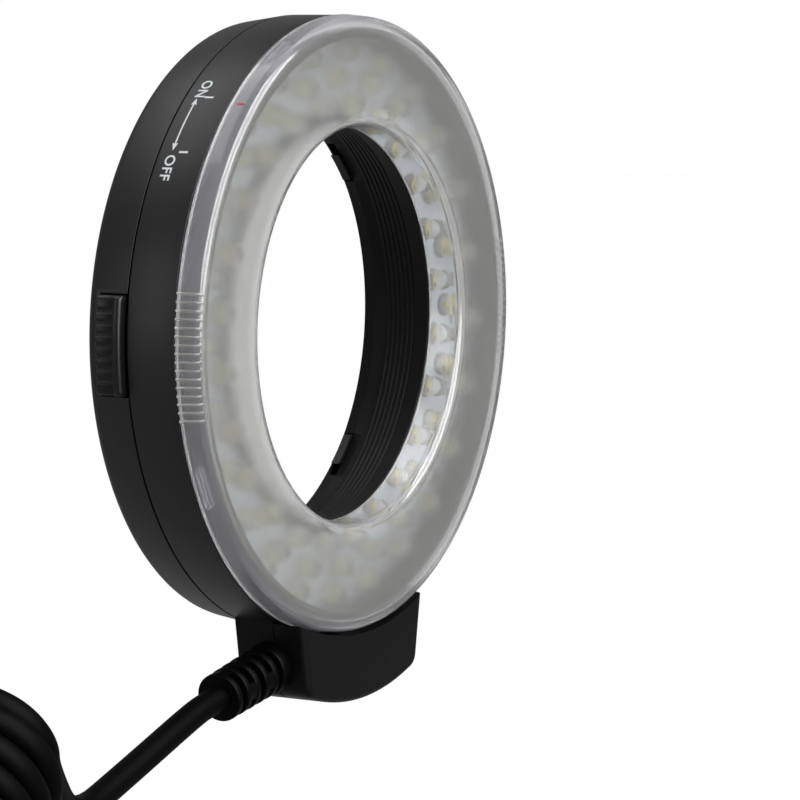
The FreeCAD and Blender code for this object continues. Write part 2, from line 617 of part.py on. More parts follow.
def lamp_row(label, circle, offset):
    """Make one row of lamps, each a faceted body with a tapered tip."""
    rear = value(BOARD_FRONT)
    lamps = []
    for number in range(int(value("lamps_per_row"))):
        angle = math.radians(value(offset) + number * 360 / value("lamps_per_row"))
        centre = Vector(value(circle) * math.cos(angle), rear, value(circle) * math.sin(angle))
        sections = [polygon(centre - Vector(0, value(height), 0), value(radius), LAMP_SIDES, Vector(1, 0, 0), Vector(0, 0, 1))
                    for height, radius in (("0", "lamp_radius"), ("lamp_shoulder", "lamp_radius"),
                                           ("lamp_height", "lamp_tip_radius"))]
        lamps.append(faceted(sections))
    node(fixed(label, Part.makeCompound(lamps)), label)


def lamp_board():
    """Lamp board with its connector and, behind it, its resistors."""
    node(ring("lamp_board", "board_inner_radius", "spigot_radius - spigot_wall - fit_gap", BOARD_FRONT, BOARD_REAR), "lamp_board")
    lamp_row("lamps_inner_row", "inner_row_radius", "inner_row_angle")
    lamp_row("lamps_middle_row", "middle_row_radius", "middle_row_angle")
    lamp_row("lamps_outer_row", "outer_row_radius", "outer_row_angle")
    rear = value(BOARD_REAR)
    parts = []
    for number in range(12):
        block = Part.makeBox(3.2, 0.7, 1.6, Vector(-1.6, rear, value("middle_row_radius - 2.25")))
        block.rotate(Vector(), Vector(0, 1, 0), number * 30 + 15)
        parts.append(block)
    node(fixed("board_resistors", Part.makeCompound(parts)), "board_resistors")
    node(box("board_connector", ("-connector_width / 2", BOARD_REAR, "-(connector_drop + connector_height / 2)"),
             ("connector_width / 2", f"{BOARD_REAR} + connector_depth", "-(connector_drop - connector_height / 2)")),
         "board_connector")


def wiring():
    """Terminal board in the block, the two wires to the lamp board and the cord's conductors."""
    rear = f"({SEAM} - block_wall - running_gap)"
    board = node(box("terminal_board", ("-terminal_width / 2", f"{rear} - terminal_thickness",
                                        "-(terminal_drop + terminal_height)"),
                     ("terminal_width / 2", rear, "-terminal_drop")), "terminal_board")
    document.recompute()
    depth = value(f"{rear} - terminal_thickness / 2")
    foot = Vector(0, depth, -value("terminal_drop"))
    length = value("terminal_drop - connector_drop - connector_height / 2")
    wires = [Part.makeCylinder(value("wire_radius"), length, foot + Vector(side * value("wire_spacing") / 2, 0, 0),
                               Vector(0, 0, 1)) for side in (-1, 1)]
    node(fixed("lamp_wires", Part.makeCompound(wires)), "lamp_wires")
    start = relief_base() - relief_axis() * value("block_wall + fit_gap + relief_flange")
    bundle = value("2 * conductor_radius")
    end = Vector(-value("terminal_width") / 4, value(f"{rear} - terminal_thickness"), -value("terminal_drop + terminal_height / 2"))
    route = [start, start - relief_axis() * 2.5 * bundle, end]
    node(fixed("cord_conductors", tube("cord_conductors", route, bundle).cut(board.Shape)), "cord_conductors")


def screws(label, places, seat, length):
    """Make pan-head screws whose heads sit on a seat and whose shanks point forwards."""
    made = []
    for across, up in places:
        foot = Vector(across, seat, up)
        head = Part.makeCylinder(value("head_radius"), value("head_height"), foot, Vector(0, 1, 0))
        shank = Part.makeCylinder(value("screw_radius"), length, foot, Vector(0, -1, 0))
        made.append(head.fuse(shank).removeSplitter())
    node(fixed(label, Part.makeCompound(made)), label)


def fasteners():
    """Four screws of the rear cover and two of the terminal block, all put in from the rear."""
    circle = value("screw_circle")
    angles = [math.radians(value(angle)) for angle in cover_screw_angles()]
    screws("cover_screws", [(circle * math.cos(angle), circle * math.sin(angle)) for angle in angles],
           value(f"{REAR} - head_height - 0.1"), value("screw_length - rear_plate"))
    side = value("block_screw_side")
    screws("block_screws", [(-side, -value("block_screw_drop")), (side, -value("block_screw_drop"))],
           value(f"{SEAM} - head_height - 0.1"), value("screw_length + 2"))


def spring_height():
    """Place of the latch springs along the lens axis."""
    return f"({SEAM} + running_gap + spring_radius + 0.4)"


def claw_band(label, inner, outer, front, rear, sign, upper):
    """Cut a block of ring between two heights on one side of the bore."""
    low = "claw_low" if upper else "-(claw_low + claw_width)"
    high = "claw_low + claw_width" if upper else "-claw_low"
    band = ring(f"{label}_ring", inner, outer, front, rear)
    ends = ("0", "70") if sign > 0 else ("-70", "0")
    return common(label, band, box(f"{label}_slab", (ends[0], f"({front}) - 1", low), (ends[1], f"({rear}) + 1", high)))


def latch(side, sign, layer):
    """Latch of one side: a button, a slider round the bore and, on the far side, its two claws.

    sign is -1 for the left button and 1 for the right one. layer is 0 for the front slider
    and 1 for the rear one.
    """
    front = f"({SLIDER_FRONT} + {layer} * (slider_thickness + running_gap))"
    rear = f"({front} + slider_thickness)"
    top = SLIDER_REAR
    arm_front = f"({SLIDER_REAR} - slider_thickness)"
    opening = math.degrees(math.asin(value("claw_low") / value("slider_outer_radius")))
    start = -opening if sign < 0 else 180 - opening
    arc = ring(f"slider_{side}_arc", "slider_inner_radius", "slider_outer_radius", front, rear,
               sweep=str(360 - 2 * opening), start=str(start))
    pieces = [arc]
    for name, upper in (("upper", True), ("lower", False)):
        label = f"slider_{side}_{name}"
        pieces.append(claw_band(f"{label}_arm", "bore_rear_radius + bore_wall + 0.9", "slider_outer_radius", front, rear, -sign, upper))
        pieces.append(claw_band(f"{label}_riser", "bore_rear_radius + bore_wall + 0.9",
                                "bore_rear_radius + bore_wall + 2.3", front, top, -sign, upper))
        pieces.append(claw_band(f"{label}_claw", "claw_radius", "bore_rear_radius + bore_wall + 2.3", arm_front, top, -sign, upper))
        pieces.append(claw_band(f"{label}_tip", "claw_radius", "claw_radius + claw_tip_length", arm_front,
                                f"{top} + claw_tip_rise", -sign, upper))
    flange_inner = "(button_flange_radius - button_flange_wall)"
    ends = ("0", "70") if sign > 0 else ("-70", "0")
    tab_ring = ring(f"slider_{side}_tab_ring", "slider_inner_radius + 1", flange_inner, SLIDER_FRONT, rear)
    pieces.append(common(f"slider_{side}_tab", tab_ring,
                         box(f"slider_{side}_tab_slab", (ends[0], f"{SLIDER_FRONT} - 1", "-6"), (ends[1], f"{rear} + 1", "6"))))
    node(joined(f"latch_slider_{side}", *pieces), f"latch_slider_{side}")

    button_front = f"({SEAM} + running_gap)"
    button_rear = f"({button_front} + button_depth)"
    rim_rear = f"({button_front} + button_rim_depth)"
    flange = ring(f"button_{side}_flange_ring", flange_inner, "button_flange_radius", button_front, button_rear)
    cap = ring(f"button_{side}_cap_ring", flange_inner, "button_rib_radius", button_front, button_rear)
    rim = ring(f"button_{side}_rim_ring", flange_inner, "button_radius", button_front, rim_rear)
    reach = "(button_half_width + button_flange_side)"
    slabs = (("flange", flange, reach), ("cap", cap, "button_half_width"), ("rim", rim, "button_half_width"))
    blocks = [common(f"button_{side}_{name}", part, box(f"button_{side}_{name}_slab", (ends[0], f"{button_front} - 1", f"-{width}"),
                                                        (ends[1], f"{button_rear} + 1", width))) for name, part, width in slabs]
    peg_start = Vector(sign * (value(flange_inner) + 0.3), value(spring_height()), 0)
    peg = fixed(f"button_{side}_peg", Part.makeCylinder(value("spring_peg_radius"), value("spring_peg_length") + 0.3, peg_start,
                                                        Vector(-sign, 0, 0)))
    grooves = []
    for number in range(-3, 4):
        height = f"({number} * button_rib_pitch)"
        across = f"{'-' if sign < 0 else ''}sqrt((button_rib_radius + 0.1) ^ 2 - {height} ^ 2)"
        grooves.append(cylinder(f"button_{side}_groove_{number + 3}", "button_groove_radius", rim_rear, f"{button_rear} + 1",
                                across, height))
    node(cut(f"latch_button_{side}", joined(f"button_{side}_body", *blocks, peg), group(f"button_{side}_grooves", grooves)),
         f"latch_button_{side}")

    outer_end = value(f"{flange_inner} - fit_gap")
    place = Vector(sign * outer_end, value(spring_height()), 0)
    length = value("spring_room") - 0.1
    sleeve = Part.makeCylinder(value("spring_radius"), length, place, Vector(-sign, 0, 0))
    hollow = Part.makeCylinder(value("spring_radius - spring_wire"), length, place, Vector(-sign, 0, 0))
    node(fixed(f"latch_spring_{side}", sleeve.cut(hollow)), f"latch_spring_{side}")


def strain_relief():
    """Strain relief: a tapered sleeve with rows of slots, and a neck and flange that the block holds."""
    length = value("relief_length")
    base_radius = value("relief_base_radius")
    tip_radius = value("relief_tip_radius")
    axis = Vector(1, 0, 0)
    inner = -value("block_wall + fit_gap")
    sleeve = Part.makeCone(base_radius, tip_radius, length - 0.05, Vector(0.05, 0, 0), axis)
    neck = Part.makeCylinder(value("relief_neck_radius"), 0.2 - inner, Vector(inner - 0.1, 0, 0), axis)
    flange = Part.makeCylinder(value("relief_flange_radius"), value("relief_flange"), Vector(inner - value("relief_flange"), 0, 0), axis)
    body = sleeve.fuse([neck, flange]).removeSplitter()
    angle = value("relief_slot_angle")
    for row in range(int(value("relief_slot_rows"))):
        place = value("relief_first_slot") + row * value("relief_slot_pitch")
        for half in (0, 180):
            start = 90 * ((row + 1) % 2) + half - angle / 2
            sector = Part.makeCylinder(base_radius + 1, value("relief_slot"), Vector(), Vector(0, 0, 1), angle)
            core = Part.makeCylinder(value("relief_core_radius"), value("relief_slot"))
            slot = sector.cut(core)
            slot.rotate(Vector(), Vector(0, 0, 1), start)
            slot.rotate(Vector(), Vector(0, 1, 0), 90)
            slot.translate(Vector(place, 0, 0))
            body = body.cut(slot)
    piece = fixed("strain_relief", body)
    lean = math.degrees(math.atan(value("block_taper")))
    piece.Placement = Placement(relief_base(), Rotation(Vector(0, 0, 1), 180) * Rotation(Vector(0, 1, 0), lean))
    node(piece, "strain_relief")


def route_edges(points):
    """Join straight runs with tangent arcs, each as large as its two runs allow, and give the radii."""
    edges = []
    radii = []
    last = points[0]
    for before, corner, after in zip(points, points[1:], points[2:]):
        one = (before - corner).normalize()
        two = (after - corner).normalize()
        half_turn = (math.pi - one.getAngle(two)) / 2
        shorter = min((before - corner).Length, (after - corner).Length)
        trim = 0.45 * shorter
        radii.append(trim / math.tan(half_turn))
        start = corner + one * trim
        end = corner + two * trim
        towards = (one + two).normalize()
        middle = corner + towards * (radii[-1] / math.cos(half_turn) - radii[-1])
        edges.append(Part.LineSegment(last, start).toShape())
        edges.append(Part.Arc(start, middle, end).toShape())
        last = end
    edges.append(Part.LineSegment(last, points[-1]).toShape())
    return edges, radii


def swept(label, edges, section, area):
    """Sweep a section along edges as one solid and compare its volume with section times length."""
    path = Part.Wire(edges)
    shell = Part.BRepOffsetAPI.MakePipeShell(path)
    shell.add(section)
    if not shell.isReady():
        raise RuntimeError(f"{label}: the sweep isn't ready")
    shell.build()
    shell.makeSolid()
    solid = shell.shape()
    expected = area * path.Length
    print(f"{label}: length {path.Length:.1f}, volume {solid.Volume:.1f}, section times length {expected:.1f}")
    return solid


def tube(label, points, diameter):
    """Make a round tube along a route of straight runs and tangent arcs."""
    edges, radii = route_edges(points)
    section = Part.Wire(Part.Circle(points[0], points[1] - points[0], diameter / 2).toShape())
    print(f"{label}: radii {[round(radius, 1) for radius in radii]}")
    return swept(label, edges, section, math.pi * diameter ** 2 / 4)


def biarc(start, start_way, end, end_way):
    """Join two points by two tangent arcs that leave and arrive in given directions."""
    chord = end - start
    ways = start_way + end_way
    spread = 2 * (1 - start_way.dot(end_way))
    reach = (-chord.dot(ways) + math.sqrt(chord.dot(ways) ** 2 + spread * chord.dot(chord))) / spread
    first_corner = start + start_way * reach
    second_corner = end - end_way * reach
    joint = (first_corner + second_corner) * 0.5
    arcs = []
    for one, corner, two in ((start, first_corner, joint), (joint, second_corner, end)):
        middle = (one + two) * 0.5
        cosine = math.cos((corner - one).getAngle(two - one))
        arcs.append(Part.Arc(one, middle + (corner - middle) * (cosine / (1 + cosine)), two).toShape())
    return arcs


# Where the cord runs. The lead leaves the strain relief and the photograph shows it straight.
LEAD_MIDDLE = Vector(-73.0, -13.2, -76.3)
LEAD_END = Vector(-89.0, -13.8, -80.6)
COIL_START = Vector(-118.2, -14.3, -62.4)
COIL_WAY = Vector(-0.85, -0.18, -0.49).normalize()
COIL_PHASE = 135.0
START_CURL = 0.8
DROOP = 40.0
TAIL_LENGTH = 34.0
TAIL_SWAY = Vector(1.4, 0.7, 0)


def coil_axis(along):
    """Point and direction of the coil's axis at a distance along it: straight, then drooping on an arc."""
    straight = value("straight_curls * curl_pitch")
    side = COIL_WAY.cross(Vector(0, 0, 1)).normalize()
    if along <= straight:
        return COIL_START + COIL_WAY * along, COIL_WAY, side
    radius = value("droop_curls * droop_pitch") / math.radians(DROOP)
    turn = math.degrees((along - straight) / radius)
    corner = COIL_START + COIL_WAY * straight
    down = COIL_WAY.cross(side)
    centre = corner + down * radius
    way = Rotation(side, -turn).multVec(COIL_WAY)
    return centre + Rotation(side, -turn).multVec(corner - centre), way, side


def curl_point(turns):
    """Point of the curly cord's middle line after a number of turns."""
    straight = value("straight_curls")
    along = min(turns, straight) * value("curl_pitch") + max(turns - straight, 0) * value("droop_pitch")
    centre, way, side = coil_axis(along)
    angle = math.radians(COIL_PHASE) + HAND * 2 * math.pi * turns
    grow = START_CURL + (1 - START_CURL) * min(turns, 1)
    radius = value("curl_radius") * grow
    return centre + side * (radius * math.cos(angle)) + way.cross(side) * (radius * math.sin(angle))


def curl_way(turns):
    """Direction of the curly cord's middle line after a number of turns."""
    step = 0.02
    return (curl_point(turns + step) - curl_point(max(turns - step, 0))).normalize()


def least_gap(turns):
    """Least distance between neighbouring curls, from points on the middle line."""
    per_turn = 48
    line = [curl_point(index / per_turn) for index in range(int(turns * per_turn) + 1)]
    least = min((one - two).Length for index, one in enumerate(line)
                for two in line[index + per_turn // 2:index + 2 * per_turn])
    return least - value("cord_diameter")


def cord():
    """Cord: straight lead, curly stretch that droops, short tail and the plug that hangs from it."""
    diameter = value("cord_diameter")
    exit_point = relief_base() + relief_axis() * value("relief_length")
    bend = exit_point + relief_axis() * 1.6 * diameter
    node(fixed("lead_cord", tube("lead_cord", [exit_point, bend, LEAD_MIDDLE, LEAD_END], diameter)), "lead_cord")

    lead_way = (LEAD_END - LEAD_MIDDLE).normalize()
    turns = value("straight_curls + droop_curls")
    steps = int(round(turns * 2))
    stub_end = LEAD_END + lead_way * diameter
    edges = [Part.LineSegment(LEAD_END, stub_end).toShape()]
    edges += biarc(stub_end, lead_way, curl_point(0), curl_way(0))
    for step in range(steps):
        edges += biarc(curl_point(step / 2), curl_way(step / 2), curl_point((step + 1) / 2), curl_way((step + 1) / 2))
    centre, way, side = coil_axis(value("straight_curls * curl_pitch + droop_curls * droop_pitch"))
    down = Vector(0, 0, -1)
    tail_start = centre + way * (value("curl_radius") * 1.3) + down * (value("curl_radius") * 0.5)
    edges += biarc(curl_point(turns), curl_way(turns), tail_start, down)
    coil_end = tail_start + down * diameter
    edges.append(Part.LineSegment(tail_start, coil_end).toShape())
    radii = [edge.Curve.Radius for edge in edges if hasattr(edge.Curve, "Radius")]
    print(f"curly_cord: least radius {min(radii):.1f}, least gap {least_gap(turns):.2f}")
    across = lead_way.cross(Vector(0, 0, 1)).normalize()
    section = polygon(LEAD_END, diameter / 2, CORD_SIDES, across, lead_way.cross(across))
    area = CORD_SIDES / 2 * (diameter / 2) ** 2 * math.sin(2 * math.pi / CORD_SIDES)
    node(fixed("curly_cord", swept("curly_cord", edges, section, area)), "curly_cord")

    tail_end = coil_end + down * TAIL_LENGTH + TAIL_SWAY
    bends = [coil_end + down * 1.6 * diameter, tail_end - down * 1.6 * diameter]
    node(fixed("tail_cord", tube("tail_cord", [coil_end, *bends, tail_end], diameter)), "tail_cord")
    plug(tail_end)


def plug(start):
    """Plug: boot, grip, shoulder, three contacts and the two insulators between them, hanging straight down."""
    down = Vector(0, 0, -1)
    place = start
    boot = value("plug_boot_length")
    node(fixed("plug_boot", Part.makeCone(value("plug_boot_radius"), value("plug_body_radius - 0.5"), boot, place, down)), "plug_boot")
    place += down * boot
    grip = value("plug_body_length")
    body = Part.makeCylinder(value("plug_body_radius"), grip, place, down)
    body = body.fuse(Part.makeCylinder(value("plug_collar_radius"), value("plug_collar_length"), place + down * grip, down))
    node(fixed("plug_body", body.removeSplitter()), "plug_body")
    place += down * (grip + value("plug_collar_length"))
    radius = value("contact_radius")
    gap = value("contact_gap")
    insulators = []
    for name in ("contact_sleeve", "contact_ring"):
        node(fixed(name, Part.makeCylinder(radius, value(name), place, down)), name)
        place += down * value(name)
        insulators.append(Part.makeCylinder(radius - 0.05, gap, place, down))
        place += down * gap
    node(fixed("contact_insulators", Part.makeCompound(insulators)), "contact_insulators")
    tip = value("contact_tip")
    neck = Part.makeCone(radius, radius * 0.75, tip * 0.35, place, down)
    bulb = Part.makeCone(radius, radius * 0.35, tip * 0.65, place + down * (tip * 0.35), down)
    node(fixed("contact_tip", neck.fuse(bulb)), "contact_tip")


def check_objects():
    """Stop if any object failed to build or any piece isn't a valid shape."""
    for thing in document.Objects:
        if "Invalid" in thing.State or "Error" in thing.State:
            raise RuntimeError(f"{thing.Label}: {thing.State}")
    for piece in nodes:
        shape = piece.Shape
        if shape.isNull() or not shape.isValid() or not shape.Solids:
            raise RuntimeError(f"{piece.Label}: the shape is empty or not valid")


rear_cover()
front_shell()
lens_bore()
block_cover()
diffuser()
lamp_board()
wiring()
fasteners()
latch("left", -1, 0)
latch("right", 1, 1)
strain_relief()
cord()
document.recompute()
check_objects()
os.makedirs("parts", exist_ok=True)
for piece in nodes:
    piece.Shape.exportStep(f"parts/{piece.Label}.step")
    print(f"{piece.Label}: {len(piece.Shape.Solids)} solids, volume {piece.Shape.Volume:.1f}")
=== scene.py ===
"""Dressed model of a ring flash: a ring of lamps round the front of a lens, seen from its front left.

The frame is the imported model, in metres. +Y runs along the lens axis to the camera, so the light
shines towards -Y, and +Z is up. The terminal block and its cord are at -Z. Sizes inside the
classes are in millimetres. The corners of an outline give the distance from the axis, the place
along it and the radius of the corner's rounding.
"""

from __future__ import annotations

import logging
import math
from dataclasses import dataclass
from enum import Enum
from typing import Any, Callable, Sequence

import bmesh
import bpy
from mathutils import Matrix, Vector

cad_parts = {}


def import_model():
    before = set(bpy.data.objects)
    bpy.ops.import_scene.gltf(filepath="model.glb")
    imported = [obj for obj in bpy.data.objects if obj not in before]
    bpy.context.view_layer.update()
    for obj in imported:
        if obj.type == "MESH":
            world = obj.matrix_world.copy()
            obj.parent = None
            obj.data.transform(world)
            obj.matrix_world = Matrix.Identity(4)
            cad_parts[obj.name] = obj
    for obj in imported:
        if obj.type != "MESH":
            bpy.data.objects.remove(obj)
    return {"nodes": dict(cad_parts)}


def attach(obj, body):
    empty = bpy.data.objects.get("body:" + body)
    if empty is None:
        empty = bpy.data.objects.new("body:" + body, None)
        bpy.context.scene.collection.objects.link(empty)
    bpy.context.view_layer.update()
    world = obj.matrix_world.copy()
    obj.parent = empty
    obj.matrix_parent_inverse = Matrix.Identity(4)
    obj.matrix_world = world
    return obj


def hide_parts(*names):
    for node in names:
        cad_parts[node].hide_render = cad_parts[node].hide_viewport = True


LOG = logging.getLogger("ring_flash")
MM = 0.001
CREASE = 32.0
QUARTER = math.radians(90)
DOWN = Vector((0, 0, -1))
Point = tuple[float, float]
Place = tuple[float, float, float]
Mesh = bmesh.types.BMesh
Thing = bpy.types.Object
Material = bpy.types.Material
Socket = bpy.types.NodeSocket
Tree = bpy.types.NodeTree


class Body(Enum):
    """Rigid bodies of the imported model."""

    HEAD = "head"
    DIFFUSER = "diffuser"
    LATCH_LEFT = "latch_left"
    LATCH_RIGHT = "latch_right"


class Side(Enum):
    """Side of the ring, as the sign of X."""

    LEFT = -1
    RIGHT = 1


# Node trees

class Graph:
    """Adds nodes to a tree and joins them."""

    def __init__(self, name: str, kind: str, inputs: dict[str, str], outputs: dict[str, str]) -> None:
        """Make a node group with its sockets.

        Args:
            name: Name of the group.
            kind: Type of the tree.
            inputs: Type of each input by name.
            outputs: Type of each output by name.
        """
        self.tree = bpy.data.node_groups.new(name, kind)
        for way, sockets in (("INPUT", inputs), ("OUTPUT", outputs)):
            for label, socket in sockets.items():
                self.tree.interface.new_socket(name=label, in_out=way, socket_type=f"NodeSocket{socket}")
        self.given = self.tree.nodes.new("NodeGroupInput").outputs
        self.result = self.tree.nodes.new("NodeGroupOutput")

    @classmethod
    def of(cls, tree: Tree) -> Graph:
        """Wrap a tree that exists, such as a material's."""
        graph = cls.__new__(cls)
        graph.tree = tree
        return graph

    def add(self, kind: str, feeds: dict[Any, Any] | None = None, **settings: Any) -> bpy.types.Node:
        """Add a node.

        Args:
            kind: Type of the node.
            feeds: Value or output socket for each input, by name or number.
            **settings: Attributes of the node.

        Returns:
            The node.
        """
        node = self.tree.nodes.new(kind)
        for name, setting in settings.items():
            setattr(node, name, setting)
        self.feed(node, feeds or {})
        return node

    def feed(self, node: bpy.types.Node, feeds: dict[Any, Any]) -> None:
        """Give inputs of a node, by name or number, a value or join an output to them."""
        for key, value in feeds.items():
            if isinstance(value, Socket):
                self.tree.links.new(value, node.inputs[key])
            else:
                node.inputs[key].default_value = value

    def math(self, operation: str, *values: Any) -> Socket:
        """Add a math node and give its output."""
        return self.add("ShaderNodeMath", dict(enumerate(values)), operation=operation).outputs[0]


class SurfaceGroup(Graph):
    """Shader group that gives the height, tone and roughness of a surface at each place."""

    def __init__(self, name: str, *inputs: str) -> None:
        """Start the group with inputs that are numbers."""
        outputs = dict.fromkeys(("Height", "Tone", "Roughness Out"), "Float")
        super().__init__(name, "ShaderNodeTree", dict.fromkeys(inputs, "Float"), outputs)
        self.place = self.add("ShaderNodeTexCoord").outputs["Object"]

    def noise(self, scale: Any, detail: float, distortion: float = 0.0) -> Socket:
        """Add a noise texture and give its value."""
        feeds = {"Vector": self.place, "Scale": scale, "Detail": detail, "Distortion": distortion}
        return self.add("ShaderNodeTexNoise", feeds).outputs["Fac"]

    def share(self, value: Socket, low: float, high: float) -> Socket:
        """Give how far a value has come between two limits, from 0 to 1."""
        feeds = {"Value": value, "From Min": low, "From Max": high}
        return self.add("ShaderNodeMapRange", feeds).outputs["Result"]

    def end(self, height: Socket, tone: Socket, roughness: Socket) -> Tree:
        """Feed the outputs and give the group."""
        self.feed(self.result, {"Height": height, "Tone": tone, "Roughness Out": roughness})
        return self.tree


def moulded_group(unevenness: float = 0.06) -> Tree:
    """Build the group for moulded plastic: a fine grain, soft unevenness and a little dust."""
    graph = SurfaceGroup("moulded_surface", "Grain Scale", "Roughness", "Dust")
    grain = graph.noise(graph.given["Grain Scale"], 3.0)
    cloud = graph.noise(60.0, 4.0)
    specks = graph.share(graph.noise(1400.0, 1.0), 0.68, 0.8)
    spread = graph.math("MULTIPLY", graph.math("SUBTRACT", cloud, 0.5), unevenness)
    dusted = graph.math("MULTIPLY", specks, graph.given["Dust"])
    tone = graph.math("ADD", dusted, graph.math("MULTIPLY", spread, 1.5))
    rough = graph.math("ADD", spread, graph.given["Roughness"])
    return graph.end(grain, tone, graph.math("ADD", rough, graph.math("MULTIPLY", dusted, 0.3)))


def clear_group(inner_radius: float = 0.041, fade: float = 0.0025) -> Tree:
    """Build the group for clear plastic: flow marks and a fine frosting.

    Args:
        inner_radius: Radius in metres within which the inner roughness holds.
        fade: Width in metres over which the outer roughness takes over.

    Returns:
        The group.
    """
    graph = SurfaceGroup("clear_surface", "Roughness", "Inner Roughness")
    inner = graph.given["Inner Roughness"]
    grain = graph.noise(3000.0, 2.0)
    flow = graph.noise(90.0, 3.0, 0.6)
    wander = graph.math("SUBTRACT", flow, 0.5)
    height = graph.math("ADD", grain, graph.math("MULTIPLY", flow, 2.0))
    flat = graph.add("ShaderNodeVectorMath", {0: graph.place, 1: (1.0, 0.0, 1.0)}, operation="MULTIPLY")
    reach = graph.add("ShaderNodeVectorMath", {0: flat.outputs[0]}, operation="LENGTH").outputs["Value"]
    outer = graph.share(reach, inner_radius, inner_radius + fade)
    gap = graph.math("SUBTRACT", graph.given["Roughness"], inner)
    mean = graph.math("ADD", inner, graph.math("MULTIPLY", gap, outer))
    paler = graph.math("MULTIPLY", graph.math("SUBTRACT", 1.0, outer), 0.7)
    uneven = graph.math("ADD", graph.math("MULTIPLY", wander, 0.4), 1.0)
    tone = graph.math("ADD", paler, graph.math("MULTIPLY", wander, 0.3))
    return graph.end(height, tone, graph.math("MULTIPLY", mean, uneven))


def surface_material(name: str, group: Tree, values: dict[str, float], colour: Place, pale: Place,
                     constants: dict[str, float], depth: float) -> Material:
    """Make a material whose colour, roughness and bump come from a shared group.

    Args:
        name: Name of the material.
        group: The shared group.
        values: Inputs of the group.
        colour: Base colour, linear.
        pale: Colour of its lightest spots, linear.
        constants: Values set on the shader's own sockets.
        depth: Depth of the surface's grain in metres.

    Returns:
        The material.
    """
    material = bpy.data.materials.new(name)
    material.use_nodes = True
    graph = Graph.of(material.node_tree)
    surface = graph.add("ShaderNodeGroup", values, node_tree=group).outputs
    feeds = {"Factor": surface["Tone"], "A": (*colour, 1), "B": (*pale, 1)}
    mix = graph.add("ShaderNodeMix", feeds, data_type="RGBA")
    feeds = {"Strength": 0.6, "Distance": depth, "Height": surface["Height"]}
    bump = graph.add("ShaderNodeBump", feeds)
    feeds = {"Base Color": mix.outputs["Result"], "Roughness": surface["Roughness Out"],
             "Normal": bump.outputs["Normal"]}
    graph.feed(graph.tree.nodes["Principled BSDF"], {**constants, **feeds})
    return material


@dataclass(frozen=True)
class Finish:
    """Finish of an opaque moulded or metal surface.

    Attributes:
        name: Name of the material.
        colour: Base colour, linear.
        pale: Colour of its lightest spots, linear.
        roughness: Mean roughness.
        grain: Scale of the grain.
        dust: Strength of the dust specks.
        metallic: 1 for metal.
        specular: Specular level.
        depth: Depth of the grain in metres.
    """

    name: str
    colour: Place
    pale: Place
    roughness: float
    grain: float = 6000.0
    dust: float = 0.1
    metallic: float = 0.0
    specular: float = 0.5
    depth: float = 0.000004

    def build(self, group: Tree) -> Material:
        """Make the material with the group for moulded plastic."""
        values = {"Grain Scale": self.grain, "Roughness": self.roughness, "Dust": self.dust}
        constants = {"Metallic": self.metallic, "Specular IOR Level": self.specular}
        return surface_material(self.name, group, values, self.colour, self.pale, constants, self.depth)


@dataclass(frozen=True)
class ClearFinish:
    """Finish of a clear or frosted moulding.

    Attributes:
        name: Name of the material.
        colour: Tint, linear.
        roughness: Mean roughness: low is clear and high is frosted.
        inner: Mean roughness near the lens axis.
        milk: Share of light that the plastic scatters in place of letting it through.
        depth: Depth of the surface's fine texture in metres.
    """

    name: str
    colour: Place
    roughness: float
    inner: float = 0.12
    milk: float = 0.0
    depth: float = 0.000002

    def build(self, group: Tree) -> Material:
        """Make the material with the group for clear plastic."""
        values = {"Roughness": self.roughness, "Inner Roughness": self.inner}
        constants = {"Transmission Weight": 1.0 - self.milk, "IOR": 1.49}
        white = (1.0, 1.0, 1.0)
        return surface_material(self.name, group, values, self.colour, white, constants, self.depth)


def grey(value: float) -> Place:
    """Give a colour with no hue."""
    return value, value, value


